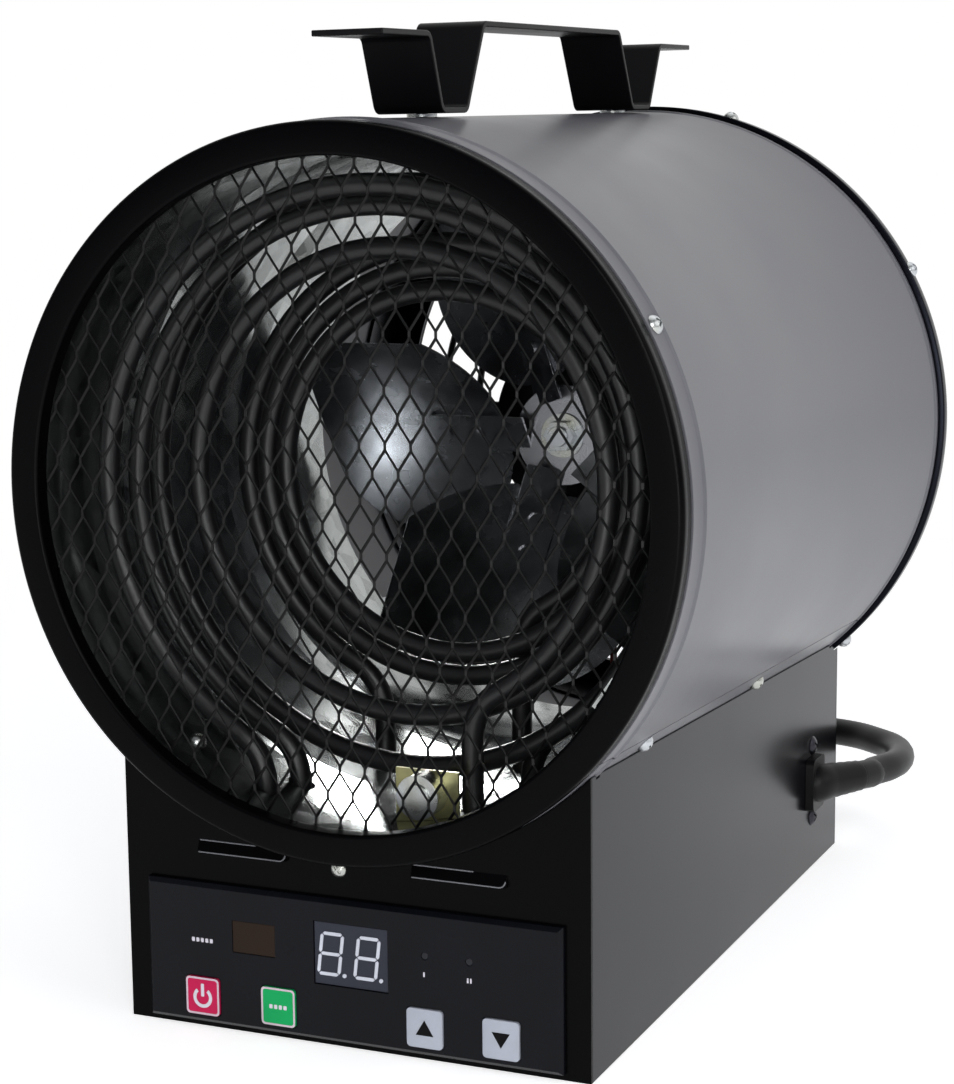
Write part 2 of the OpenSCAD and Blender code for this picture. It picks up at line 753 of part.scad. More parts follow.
// Leg: from below the plate, up, and over into the loop
function leg_points(kind, end) =
    let (
        p = element_at(kind, end),
        turn = end == 0 ? 0.012 : 0.988,
        q = element_at(kind, turn),
        low = [p[0], p[1], leg_end_z],
        knee = [p[0], p[1], p[2] - leg_turn_r]
    )
    [low, lerp(low, knee, 0.5), knee, bezier(knee, p, q, 0.3), bezier(knee, p, q, 0.6)];
function reversed(v) = [for (i = [len(v) - 1:-1:0]) v[i]];
function element_path(kind, span) =
    let (n = ceil(abs(span[1] - span[0]) / 360 * ring_steps))
    concat(
        leg_points(kind, 0),
        [for (i = [0:n]) element_at(kind, lerp(0.012, 0.988, i / n))],
        reversed(leg_points(kind, 1))
    );
outer_path = element_path(0, outer_span);
middle_path = element_path(1, middle_span);
inner_path = element_path(2, inner_span);
elements = [for (p = [outer_path, middle_path, inner_path])
    [[p[0], p[1]], [p[len(p) - 1], p[len(p) - 2]]]];
module element(p) {
    color("#202022") placed() tube(p, tube_r, tube_sides, [0, 1, 0]);
}
module element_outer() {
    echo(element_outer_gap = least_gap(outer_path, tube_r, 6));
    element(outer_path);
}
module element_middle() {
    echo(element_middle_gap = least_gap(middle_path, tube_r, 6));
    element(middle_path);
}
module element_inner() {
    echo(element_inner_gap = least_gap(inner_path, tube_r, 6));
    element(inner_path);
}
// Channels on the liner that the widest loops lie against
support_a = [75, 125];
support_w = 12;
support_t = 1;
module element_supports() {
    top = loop_r + tube_r + slip;
    y0 = loop_y - loop_pitch / 2;
    l = 3.2 * loop_pitch;
    reach = min(liner_at(y0), liner_at(y0 + l));
    foot = reach - fit - pow(support_w / 2, 2) / (2 * reach);
    color("silver") placed() for (a = support_a) on_skin(a, 0, y0) difference() {
        translate([-support_w / 2, 0, top]) cube([support_w, l, foot - top]);
        translate([support_t - support_w / 2, -over, top + support_t])
            cube([support_w - 2 * support_t, l + 2 * over, foot]);
    }
}
// Flanges and nuts that clamp the legs in the terminal plate
module element_bushings() {
    color("#c9b06a") placed() leg_places() {
        difference() {
            union() {
                translate([0, 0, plate_z + plate_t]) cylinder(r = bush_r, h = bush_h);
                translate([0, 0, plate_z - bush_nut_h])
                    cylinder(r = bush_r, h = bush_nut_h, $fn = 6);
            }
            translate([0, 0, plate_z - bush_nut_h - over])
                cylinder(r = tube_r + fit, h = bush_nut_h + plate_t + bush_h + 2 * over);
        }
    }
}
module terminal_insulators() {
    color("ivory") placed() leg_places() translate([0, 0, leg_end_z - insulator_h])
        difference() {
            cylinder(r = insulator_r, h = insulator_h);
            translate([0, 0, -over]) cylinder(r = stud_r + fit, h = insulator_h / 2 + over);
        }
}
module terminal_studs() {
    color("silver") placed() leg_places() {
        translate([0, 0, leg_end_z - insulator_h - stud_l])
            cylinder(r = stud_r, h = stud_l + insulator_h / 2 - fit);
        translate([0, 0, leg_end_z - insulator_h - stud_l / 2])
            cylinder(r = 2 * stud_r, h = stud_l / 4, $fn = 6);
    }
}
module terminal_plate() {
    color("silver") placed() difference() {
        union() {
            translate([-plate_x, plate_y0, plate_z])
                cube([2 * plate_x, plate_y1 - plate_y0, plate_t]);
            for (y = [plate_y0, plate_y1 - plate_t])
                translate([-plate_x, y, plate_z]) cube([2 * plate_x, plate_t, ring_r / 4]);
        }
        drum_solid(fit);
        leg_places() translate([0, 0, plate_z - over])
            cylinder(r = tube_r + fit, h = plate_t + 2 * over);
    }
}
// Snap-action thermostat on a bracket that stands on the liner's floor
thermo_at = [19, 33];
thermo_r = 7.6;
thermo_l = 8;
thermo_plate = [23, 1.2, 19];
thermo_lift = 3;
thermo_flange_t = 0.8;
floor_z = axis_z - liner_at(thermo_at[1]);
module thermostat_bracket() {
    x0 = thermo_at[0] - thermo_plate[0] / 2;
    color("#b9a85a") placed() difference() {
        union() {
            translate([x0, thermo_at[1], floor_z])
                cube([thermo_plate[0], thermo_plate[1], thermo_plate[2]]);
            translate([x0, thermo_at[1], floor_z])
                cube([thermo_plate[0], 3 * thermo_lift, 1.2 * thermo_lift]);
        }
        revolved() polygon([
            [liner_at(0) - fit, 0], [liner_r + ring_r, 0],
            [liner_r + ring_r, drum_len], [liner_at(drum_len) - fit, drum_len]
        ]);
    }
}
module limit_thermostat() {
    z = floor_z + thermo_plate[2] - thermo_r;
    color("#c8b98a") placed() translate([thermo_at[0], thermo_at[1] - fit, z])
        rotate([90, 0, 0]) {
            cylinder(r = thermo_r, h = thermo_l);
            translate([0, 0, thermo_l]) cylinder(r = thermo_r * 0.6, h = thermo_flange_t);
        }
}

// Fan. A blade lies along +X here, its camber a slice of a wide cylinder.
module blade_places() {
    for (k = [0:blade_count - 1])
        translate([0, fan_y, axis_z]) rotate([0, -blade_first_a - 360 * k / blade_count, 0])
            children();
}
module camber_sheet(offset, thick) {
    translate([0, -camber_r * cos(blade_pitch), camber_r * sin(blade_pitch)])
        rotate([0, 90, 0]) difference() {
            cylinder(r = camber_r + offset + thick, h = 2 * fan_r, $fn = 144);
            translate([0, 0, -over])
                cylinder(r = camber_r + offset, h = 2 * fan_r + 2 * over, $fn = 144);
        }
}
module petal_outline() {
    difference() {
        intersection() {
            circle(r = fan_r, $fn = 144);
            union() {
                translate([petal_c, 0]) circle(r = petal_r);
                translate([petal_root_r, -petal_root_w / 2])
                    square([petal_c - petal_root_r, petal_root_w]);
            }
        }
        translate([0, -fan_r - petal_flat]) square([2 * fan_r, fan_r]);
        circle(r = petal_root_r);
    }
}
module arm_outline() {
    translate([arm_in_r, -arm_w / 2]) square([arm_r - arm_in_r - arm_w / 2, arm_w]);
    translate([arm_r - arm_w / 2, 0]) circle(r = arm_w / 2);
}
module axial_prism() {
    translate([0, fan_r, 0]) rotate([90, 0, 0]) linear_extrude(2 * fan_r) children();
}
module rivet_places() {
    for (x = rivet_at) translate([x, 0, 0]) rotate([-90 - blade_pitch, 0, 0]) children();
}
module fan_blades() {
    color("#8d8f93") placed() blade_places() difference() {
        intersection() {
            camber_sheet(0, blade_t);
            axial_prism() petal_outline();
        }
        rivet_places() translate([0, 0, -camber_r / 4])
            cylinder(r = rivet_r + fit, h = camber_r / 2);
    }
}
module fan_spider() {
    color("#b4b7ba") placed() difference() {
        union() {
            blade_places() intersection() {
                camber_sheet(-arm_t - arm_gap, arm_t);
                axial_prism() arm_outline();
            }
            along_axis(disc_y) cylinder(r = disc_r, h = disc_t);
        }
        blade_places() rivet_places() translate([0, 0, -camber_r / 4])
            cylinder(r = rivet_r + fit, h = camber_r / 2);
        along_axis(disc_y - arm_w) cylinder(r = shaft_r + fit, h = 2 * arm_w);
        along_axis(disc_y - arm_w) cylinder(r = arm_in_r + fit, h = arm_w);
    }
}
module blade_rivets() {
    under = arm_t + arm_gap + fit;
    color("#9a9ca0") placed() blade_places() rivet_places() {
        translate([0, 0, blade_t + fit]) cylinder(r = rivet_head_r, h = rivet_head_h);
        translate([0, 0, -under - rivet_head_h])
            cylinder(r = rivet_head_r, h = rivet_head_h);
        translate([0, 0, -under - rivet_head_h / 2])
            cylinder(r = rivet_r, h = blade_t + under + rivet_head_h);
    }
}
module fan_nut() {
    color("silver") placed() difference() {
        union() {
            along_axis(disc_y - nut_flange_h) cylinder(r = nut_flange_r, h = nut_flange_h);
            along_axis(disc_y - nut_flange_h - nut_h) cylinder(r = nut_r, h = nut_h + over / 2, $fn = 6);
        }
        along_axis(disc_y - nut_flange_h - nut_h - over)
            cylinder(r = shaft_r + fit, h = nut_h + nut_flange_h + 2 * over);
    }
}

// Motor
module motor_rotor() {
    color("#8a8d90") placed() {
        along_axis(shaft_front_y) cylinder(r = shaft_r, h = shaft_rear_y - shaft_front_y);
        along_axis(motor_mid_y - core_len / 2) cylinder(r = rotor_r, h = core_len);
        along_axis(disc_y + disc_t + fit)
            cylinder(r = 2 * shaft_r, h = motor_y - motor_wall - disc_y - disc_t - over);
    }
}
module housing_half(y0, y1, cap_y) {
    inside_y = cap_y == y0 ? y0 + motor_wall : y0;
    boss_y = cap_y == y0 ? y0 : y1 - motor_wall - bearing_len;
    color("#3b3d41") placed() difference() {
        union() {
            difference() {
                along_axis(y0) cylinder(r = motor_r, h = y1 - y0);
                along_axis(inside_y - (cap_y == y0 ? 0 : over))
                    cylinder(r = motor_r - motor_wall, h = y1 - y0 - motor_wall + over);
            }
            along_axis(boss_y) cylinder(r = bearing_r + boss_t, h = motor_wall + bearing_len);
        }
        along_axis(y0 - over) cylinder(r = shaft_r + slip, h = y1 - y0 + 2 * over);
        along_axis(cap_y == y0 ? y0 + motor_wall : y1 - motor_wall - bearing_len - over)
            cylinder(r = bearing_r + fit / 2, h = bearing_len + over);
        bolt_places(y0 - over) cylinder(r = bolt_r + fit, h = y1 - y0 + 2 * over);
    }
}
module bolt_places(y) {
    for (k = [0:3]) on_skin(90 * k, bolt_at_r, y) rotate([-90, 0, 0]) children();
}
module motor_front_housing() {
    housing_half(motor_y, motor_mid_y - fit / 2, motor_y);
}
module motor_rear_housing() {
    housing_half(motor_mid_y + fit / 2, motor_y + motor_len, motor_y + motor_len);
}
module stator_core() {
    color("#6d7073") placed() difference() {
        along_axis(motor_mid_y - core_len / 2)
            cylinder(r = motor_r - motor_wall - fit, h = core_len);
        along_axis(motor_mid_y - core_len / 2 - over)
            cylinder(r = rotor_r + air_gap, h = core_len + 2 * over);
        bolt_places(motor_y) cylinder(r = bolt_r + fit, h = motor_len);
    }
}
module stator_windings() {
    bolt_clear = bolt_r + fit;
    color("#a5602d") placed() difference() {
        for (y = [motor_mid_y - core_len / 2 - winding_len, motor_mid_y + core_len / 2])
            along_axis(y) cylinder(r = winding_out, h = winding_len);
        along_axis(motor_y) cylinder(r = winding_in, h = motor_len);
        bolt_places(motor_y) cylinder(r = bolt_clear, h = motor_len);
    }
}
module motor_bearings() {
    color("silver") placed() difference() {
        union() {
            along_axis(motor_y + motor_wall) cylinder(r = bearing_r, h = bearing_len);
            along_axis(motor_y + motor_len - motor_wall - bearing_len)
                cylinder(r = bearing_r, h = bearing_len);
        }
        along_axis(motor_y) cylinder(r = shaft_r + run_gap, h = motor_len);
    }
}
// Strip of sheet that follows bends given as points, in the XY plane
module bent_strip(points, thick, inside_r) {
    function corner(i, side) =
        let (
            a = points[i - 1], b = points[i], c = points[i + 1],
            u = unit(b - a), v = unit(c - b),
            turn = u[0] * v[1] - u[1] * v[0],
            ang = abs(asin(turn)),
            r = inside_r + (sign(turn) == side ? 0 : thick),
            back = (inside_r + thick / 2) * tan(ang / 2),
            n = [-u[1], u[0]] * sign(turn),
            o = b - back * u + (inside_r + thick / 2) * n
        )
        [for (k = [0:4]) let (w = ang * k / 4 * sign(turn))
            o + r * [-n[0] * cos(w) + n[1] * sin(w), -n[0] * sin(w) - n[1] * cos(w)]];
    function edge(side) =
        let (
            n = len(points) - 1,
            u = unit(points[1] - points[0]),
            v = unit(points[n] - points[n - 1])
        )
        concat(
            [points[0] + side * thick / 2 * [-u[1], u[0]]],
            [for (i = [1:n - 1]) each corner(i, side)],
            [points[n] + side * thick / 2 * [-v[1], v[0]]]
        );
    polygon(concat(edge(1), reversed(edge(-1))));
}
// Four-arm bracket between the motor's rear and the rear ring's flange
module motor_bracket() {
    y0 = motor_y + motor_len + fit + bracket_t / 2;
    y1 = drum_len - ring_t - fit - bracket_t / 2;
    color("#2a2b2e") placed() difference() {
        union() {
            for (a = bracket_a) translate([0, 0, axis_z]) rotate([0, a - 90, 0])
                translate([0, 0, -bracket_w / 2]) linear_extrude(bracket_w)
                    bent_strip([
                        [bracket_hub_r / 2, y0], [bracket_bend_r[0], y0],
                        [bracket_bend_r[1], y1], [bracket_foot_r, y1]
                    ], bracket_t, bracket_t);
            along_axis(y0 - bracket_t / 2) cylinder(r = bracket_hub_r, h = bracket_t);
        }
        along_axis(y0 - bracket_t) cylinder(r = 2 * shaft_r, h = 2 * bracket_t);
        bolt_places(y0 - bracket_t) cylinder(r = bolt_r + fit, h = 2 * bracket_t);
        foot_screw_places() hole(drum_shank_r, 4 * bracket_t);
    }
}
module motor_screws() {
    y0 = motor_y + motor_len + bracket_t + 2 * fit;
    color("silver") placed() {
        bolt_places(y0) cylinder(r = bolt_head_r, h = bolt_head_h, $fn = 6);
        bolt_places(motor_y + motor_wall + fit)
            cylinder(r = bolt_r, h = y0 - motor_y - motor_wall);
        foot_screw_places()
            screw(drum_head_r, drum_head_h, drum_shank_r, ring_t + bracket_t + drum_shank_r);
    }
}

// Strap: carrying handle and hanging bracket. Its middle is one bent strip, and
// its two end flanges meet it at the top of its outer legs.
strap_flange = foot_lift + flange_h - strap_t / 2;
module flange_blocks(gap) {
    for (s = [0, 1]) translate([
        -strap_w, s > 0 ? leg_top[3] + strap_t + gap : tip_front - flange_l[0],
        strap_flange - 2 * strap_t
    ])
        cube([2 * strap_w, s > 0 ? 2 * flange_l[1] : 2 * flange_l[0] - strap_t - gap, 4 * strap_t]);
}
module strap_strip() {
    foot = foot_lift + fit + strap_t / 2;
    flange = strap_flange;
    grip = foot_lift + grip_h - strap_t / 2;
    difference() {
        rotate([90, 0, 90]) translate([0, 0, -strap_w / 2]) linear_extrude(strap_w)
            bent_strip([
                [tip_front, flange], [leg_top[0], flange],
                [leg_foot[0], foot], [leg_foot[1], foot],
                [leg_top[1], grip], [leg_top[2], grip],
                [leg_foot[2], foot], [leg_foot[3], foot],
                [leg_top[3], flange], [tip_rear, flange]
            ], strap_t, strap_bend_r);
        for (y = hang_y) translate([0, y, flange - strap_t])
            cylinder(r = hang_hole_r, h = 2 * strap_t);
        for (y = foot_y) translate([0, y, 0]) cylinder(r = bolt_r + fit, h = 2 * strap_t + foot);
    }
}
module strap_bracket() {
    color("#17171a") placed() strap_frame() difference() {
        strap_strip();
        flange_blocks(0);
    }
}
module strap_flanges() {
    color("#17171a") placed() strap_frame() intersection() {
        strap_strip();
        flange_blocks(fit);
    }
}
module strap_screws() {
    seat = strap_t + 2 * fit;
    color("silver") placed() foot_places() {
        translate([0, 0, seat]) screw(panel_head_r + over, drum_head_h, bolt_r, 3 * seat);
        translate([0, 0, fit / 2 - foot_lift]) difference() {
            cylinder(r = 2.6 * bolt_r, h = foot_lift);
            translate([0, 0, -over]) cylinder(r = bolt_r + fit, h = foot_lift + 2 * over);
        }
        translate([0, 0, -foot_lift - casing_t - 3 * bolt_r / 2 - fit]) difference() {
            cylinder(r = 2 * bolt_r, h = bolt_r, $fn = 6);
            translate([0, 0, -over]) cylinder(r = bolt_r + fit, h = 2 * bolt_r);
        }
    }
}

// Base
module base_body() {
    y0 = base_front_y + base_t + fit;
    y1 = base_rear_y - base_t - fit;
    top = axis_z - ring_r / 2;
    color("#1e1f23") placed() difference() {
        union() {
            translate([-base_half, y0, 0]) cube([base_w, y1 - y0, base_t]);
            for (s = [0, 1])
                translate([-base_half + s * (base_w - base_t), y0, 0])
                    cube([base_t, y1 - y0, top]);
            for (d = saddle_back) difference() {
                translate([-base_half, base_rear_y - d, 0]) cube([base_w, base_t, top]);
                translate([-saddle_w, base_rear_y - d - over, base_t])
                    cube([2 * saddle_w, base_t + 2 * over, saddle_h]);
            }
        }
        drum_solid(base_gap);
        translate([base_half - over - base_t, relief_y, relief_z]) rotate([0, 90, 0])
            cylinder(r = relief_r0 - over, h = base_t + 2 * over);
        relief_screw_places() hole(drum_shank_r, 4 * base_t);
        panel_side_places() hole(drum_shank_r, 4 * base_t);
    }
}
module relief_screw_places() {
    for (s = [-1, 1])
        translate([base_half, relief_y + relief_screw_dy, relief_z + s * relief_screw_dz])
            rotate([0, 90, 0]) children();
}
// Screws that hold the rear panel's side flanges
module panel_side_places() {
    for (z = [rear_screw_z, 4.5 * rear_screw_z])
        translate([-base_half, base_rear_y - base_t - front_lap / 2, z])
            rotate([0, -90, 0]) children();
}
// Hood of a louvre, a bar along X whose section is given from its slot
module louvre_bar(l, section) {
    for (x = [-louvre_x, louvre_x]) translate([x - l / 2, base_front_y, louvre_z]) rotate([90, 0, 90])
        linear_extrude(l) polygon(section);
}
// Height under the drum, of the given radius, at the inside of the base's walls
function under_drum(r) =
    axis_z - sqrt(pow(r + bead_h + base_gap, 2) - pow(base_half - 3 * base_t, 2));
module base_front() {
    top = axis_z - ring_r / 2;
    flange_z = under_drum(drum_r(base_front_y + front_lap));
    color("#0c0c0e") placed() difference() {
        union() {
            difference() {
                translate([-base_half, base_front_y, 0]) cube([base_w, base_t, top]);
                drum_solid(base_gap);
            }
            for (s = [-1, 1])
                translate([s * (base_half - base_t - fit) - (s > 0 ? base_t : 0),
                    base_front_y + base_t / 2, base_t + fit])
                    cube([base_t, front_lap - base_t / 2, flange_z - base_t - fit]);
            louvre_bar(louvre_l, [
                [base_t / 2, louvre_r], [0, louvre_r], [-louvre_out, -louvre_r / 2],
                [base_t / 2, -louvre_r / 2]
            ]);
        }
        louvre_bar(louvre_l - 2 * louvre_t, [
            [base_t + over, louvre_r / 2], [louvre_t / 2, louvre_r / 2],
            [louvre_t - louvre_out, -louvre_r / 2 - louvre_t / 2],
            [base_t + over, -louvre_r / 2 - louvre_t / 2]
        ]);
        translate([-window_w / 2, base_front_y - over, bezel_zc - window_h / 2])
            cube([window_w, base_t + 2 * over, window_h]);
        panel_screw_place() hole(drum_shank_r, 4 * base_t);
    }
}
module panel_screw_place() {
    translate([panel_screw[0], base_front_y, panel_screw[1]]) rotate([90, 0, 0]) children();
}
module base_rear() {
    top = axis_z - ring_r / 2;
    flange_z = under_drum(rear_rim_r);
    color("#1e1f23") placed() difference() {
        union() {
            difference() {
                translate([-base_half, base_rear_y - base_t, 0]) cube([base_w, base_t, top]);
                drum_solid(base_gap);
            }
            for (s = [-1, 1])
                translate([s * (base_half - base_t - fit) - (s > 0 ? base_t : 0),
                    base_rear_y - front_lap, base_t + fit])
                    cube([base_t, front_lap - base_t / 2, flange_z - base_t - fit]);
        }
        for (i = [0:vent_count - 1])
            translate([(i - (vent_count - 1) / 2) * vent_step - vent_w / 2,
                base_rear_y - 2 * base_t, vent_z])
                cube([vent_w, 3 * base_t, vent_h]);
        panel_side_places() hole(drum_shank_r, 4 * base_t);
    }
}
module panel_screws() {
    color("silver") placed() {
        panel_screw_place() translate([0, 0, fit / 2])
            screw(panel_head_r, drum_head_h / 2, drum_shank_r, 3 * base_t);
        panel_side_places() translate([0, 0, fit / 2])
            screw(drum_head_r, drum_head_h, drum_shank_r, 3 * base_t);
        liner_screw_places() translate([0, 0, fit])
            screw(drum_head_r, drum_head_h, drum_shank_r, skirt_r - liner_r);
    }
}
module drum_screws() {
    color("silver") placed() {
        front_screw_places() translate([0, 0, fit / 2])
            screw(drum_head_r, drum_head_h, drum_shank_r, drum_shank_l - casing_t);
        rear_screw_places() translate([0, 0, fit / 2])
            screw(drum_head_r, drum_head_h, drum_shank_r, drum_shank_l);
        seam_screw_places() translate([0, 0, fit / 2])
            screw(drum_head_r, drum_head_h, drum_shank_r, drum_shank_l);
    }
}

// Control panel
module chamfered_plate(w, t, h, c) {
    intersection() {
        linear_extrude(h) polygon([
            [-w / 2, t], [-w / 2, c], [c - w / 2, 0],
            [w / 2 - c, 0], [w / 2, c], [w / 2, t]
        ]);
        rotate([90, 0, 90]) translate([0, 0, -w]) linear_extrude(2 * w)
            polygon([[t, 0], [c, 0], [0, c], [0, h - c], [c, h], [t, h]]);
    }
}
module rounded_bar(w, h, r, t) {
    rotate([90, 0, 0]) linear_extrude(t) {
        square([w - 2 * r, h], center = true);
        square([w, h - 2 * r], center = true);
        for (x = [-1, 1], z = [-1, 1]) translate([x * (w / 2 - r), z * (h / 2 - r)])
            circle(r = r, $fn = 32);
    }
}
module control_bezel() {
    color("#15181d") placed() difference() {
        union() {
            translate([0, bezel_y, bezel_z0])
                chamfered_plate(bezel_w, bezel_t, bezel_h, bezel_chamfer);
            for (x = [-1, 1], z = [-1, 1])
                translate([x * post_x, board_y - fit, bezel_zc + z * post_dz]) rotate([90, 0, 0])
                    cylinder(r = post_r, h = board_y - fit - base_front_y + over / 2);
        }
        for (x = button_x) translate([x, base_front_y + over, button_z])
            rounded_bar(button_w + 2 * slip, button_h + 2 * slip, button_round,
                bezel_t + 2 * over);
        translate([display_x - display_w / 2 - slip, bezel_y - over, display_z - display_h / 2 - slip])
            cube([display_w + 2 * slip, bezel_t + 2 * over, display_h + 2 * slip]);
        translate([ir_x - ir_w / 2 - fit, bezel_y - over, ir_z - ir_h / 2 - fit])
            cube([ir_w + 2 * fit, bezel_t + 2 * over, ir_h + 2 * fit]);
        for (x = lamp_x) translate([x, base_front_y + over, lamp_z]) rotate([90, 0, 0])
            cylinder(r = lamp_r + fit, h = bezel_t + 2 * over);
    }
}
module display_module() {
    y0 = bezel_y + display_in;
    color("#3a3b42") placed()
        translate([display_x - display_w / 2, y0, display_z - display_h / 2])
            cube([display_w, board_y - fit - y0, display_h]);
}
module digit() {
    w = digit_w;
    h = digit_h;
    s = segment_w;
    bar = w - s * 1.3;
    for (z = [-1, 0, 1]) translate([-bar / 2, z * (h - s) / 2 - s / 2]) square([bar, s]);
    for (x = [-1, 1], z = [-1, 1])
        translate([x * (w - s) / 2 - s / 2, z * h / 4 - (h / 2 - s * 1.9) / 2])
            square([s, h / 2 - s * 1.9]);
    translate([w / 2 + 2 * dot_r, -h / 2 + dot_r]) circle(r = dot_r, $fn = 24);
}
module display_segments() {
    color("#d8dae6") placed() for (s = [-1, 1])
        translate([display_x + s * digit_x - dot_r, bezel_y + display_in - fit / 10, display_z])
            rotate([90, 0, 0]) linear_extrude(segment_t) digit();
}
module infrared_window() {
    color("#2b1a10") placed()
        translate([ir_x - ir_w / 2, bezel_y + display_in / 2, ir_z - ir_h / 2])
            cube([ir_w, bezel_t - display_in / 2, ir_h]);
}
module panel_lamps() {
    color("#c9c2b0") placed() for (x = lamp_x)
        translate([x, board_y - fit, lamp_z]) rotate([90, 0, 0])
            cylinder(r = lamp_r, h = board_y - fit - bezel_y - display_in / 2);
}
module control_board() {
    chip = [12, 3, 8];
    color("#20603a") placed() {
        translate([-board_w / 2, board_y, bezel_zc - board_h / 2])
            cube([board_w, board_t, board_h]);
        translate([ir_x - chip[2] / 2, board_y - chip[1] - board_t, ir_z - chip[2] / 2])
            cube([chip[2], chip[1] + board_t + over / 2, chip[2]]);
        for (x = [-chip[0] * 2, chip[0]])
            translate([x, board_y + board_t - over / 2, bezel_zc])
                cube([chip[0], chip[1] + over / 2, chip[2]]);
    }
}
module tact_switches() {
    color("#33343a") placed() for (x = button_x) {
        translate([x - switch_w / 2, board_y - fit - switch_h, button_z - switch_w / 2])
            cube([switch_w, switch_h, switch_w]);
        translate([x, board_y - fit - switch_h + over / 2, button_z]) rotate([90, 0, 0])
            cylinder(r = plunger_r, h = plunger_h + over / 2);
    }
}
module push_button(x, shade) {
    back_y = base_front_y + fit;
    color(shade) placed() {
        translate([x, back_y + button_lip_t / 2, button_z])
            rounded_bar(button_w, button_h, button_round,
                bezel_t + fit + button_out + button_lip_t / 2);
        translate([x, back_y + button_lip_t, button_z])
            rounded_bar(button_w + 2 * button_lip, button_h + 2 * button_lip,
                button_round, button_lip_t);
        translate([x, back_y + button_lip_t + stem_l, button_z]) rotate([90, 0, 0])
            cylinder(r = stem_r, h = stem_l + button_lip_t / 2);
    }
}
module power_button() { push_button(button_x[0], "#c8285a"); }
module mode_button() { push_button(button_x[1], "#12a05a"); }
module up_button() { push_button(button_x[2], "#b8bcc8"); }
module down_button() { push_button(button_x[3], "#b8bcc8"); }

// Electric parts in the base
module power_board() {
    at = power_board_at;
    size = power_board_size;
    color("#2d6b3c") placed() {
        translate(at) cube(size);
        for (x = [0, 1], y = [0, 1])
            translate([at[0] + lerp(post_r, size[0] - post_r, x),
                at[1] + lerp(post_r, size[1] - post_r, y), base_t + fit])
                cylinder(r = post_r, h = at[2] - base_t - fit + over / 2);
    }
}
module relays() {
    color("#2b4f9a") placed() for (p = relay_on_board)
        translate([power_board_at[0] + p[0], power_board_at[1] + p[1], board_top]) cube(relay_size);
}
module transformer() {
    s = transformer_size;
    color("#5c5f63") placed() translate([transformer_at[0], transformer_at[1], board_top])
        difference() {
            union() {
                cube([s[0], s[1] * 0.6, s[2]]);
                translate([s[0] * 0.2, -s[1] * 0.1, s[2] * 0.2])
                    cube([s[0] * 0.6, s[1] * 0.8, s[2] * 0.6]);
            }
        }
}
module terminal_block() {
    s = block_size;
    color("#e6e2d6") placed() translate([block_at[0], block_at[1], base_t + fit])
        difference() {
            cube(s);
            for (i = [0:2]) translate([s[0] / 2, s[1] * (i + 0.5) / 3, s[2] / 2])
                cylinder(r = 2 * lead_r, h = s[2]);
        }
}
// Runs of lead, each one tube along a smooth curve
lead_steps = 3;
function lead_curve(p) = concat([p[0]], [for (i = [0:len(p) - 2], k = [1:lead_steps])
    spline_at(p[max(0, i - 1)], p[i], p[i + 1], p[min(len(p) - 1, i + 2)], k / lead_steps)]);
module lead(points, up) {
    tube(lead_curve(points), lead_r, 6, up);
}
lead_on_board = [[14, -11], [21, -7], [28, -3], [74, -11], [68, -7], [60, -3]];
mains_shares = [[0.5, 0.11, 0.07], [0.37, 0.44, 0.4], [0.43, 0.69, 0.79], [0.37, 0.955, 1]];
motor_drop_shares = [0.42, 0.8];
motor_run_shares = [[0.27, 0.2, 5], [0.67, 0.52, 1], [0.93, 0.8, 0]];
module wiring() {
    bx = block_at[0] + block_size[0] + lead_gap;
    clamp_x = base_half - base_t - clamp_size[0] - lead_gap;
    stud_z = leg_end_z - insulator_h - stud_l - lead_gap;
    tap = [
        transformer_at[0] + transformer_size[0] - 2 * lead_r,
        transformer_at[1] + 0.6 * transformer_size[1] + 2 * fit,
        board_top + transformer_size[2] / 2
    ];
    motor_z = axis_z - motor_r - fit;
    board_z = board_top + 2.7 * lead_r;
    color("#7a1f1f") placed() {
        for (i = [0:2]) {
            y = block_at[1] + block_size[1] * (i + 0.5) / 3;
            z = base_t + block_size[2] / 2;
            y1 = relief_y + (i - 1) * 3 * lead_r;
            lead(concat(
                [[clamp_x, y1, relief_z]],
                [for (f = mains_shares)
                    [lerp(bx, clamp_x, f[0]), lerp(y1, y, f[1]), lerp(relief_z, z, f[2])]],
                [[bx, y, z]]
            ), [0, 0, 1]);
        }
        lead(concat(
            [[0, motor_mid_y, motor_z]],
            [for (f = motor_drop_shares) [0, motor_mid_y, lerp(motor_z, tap[2], f)]],
            [for (f = motor_run_shares)
                [f[0] * tap[0], lerp(motor_mid_y, tap[1], f[1]), tap[2] + f[2] * lead_r]],
            [tap]
        ), [1, 0, 0]);
        for (i = [0:2], k = [0, 1]) {
            p = elements[i][k][0];
            x = power_board_at[0] + lead_on_board[i + 3 * k][0];
            y = power_board_at[1] + lead_on_board[i + 3 * k][1];
            lead([
                [p[0], p[1], stud_z], [p[0], p[1] + 2.5 * lead_r, board_z + 2.5 * i * lead_r],
                [(p[0] + x) / 2, (p[1] + y) / 2, board_z + (2.5 * i - 3.75) * lead_r],
                [x, y - 6.25 * lead_r, board_z], [x, y + 4.4 * lead_r, board_z]
            ], [1, 0, 0]);
        }
    }
}

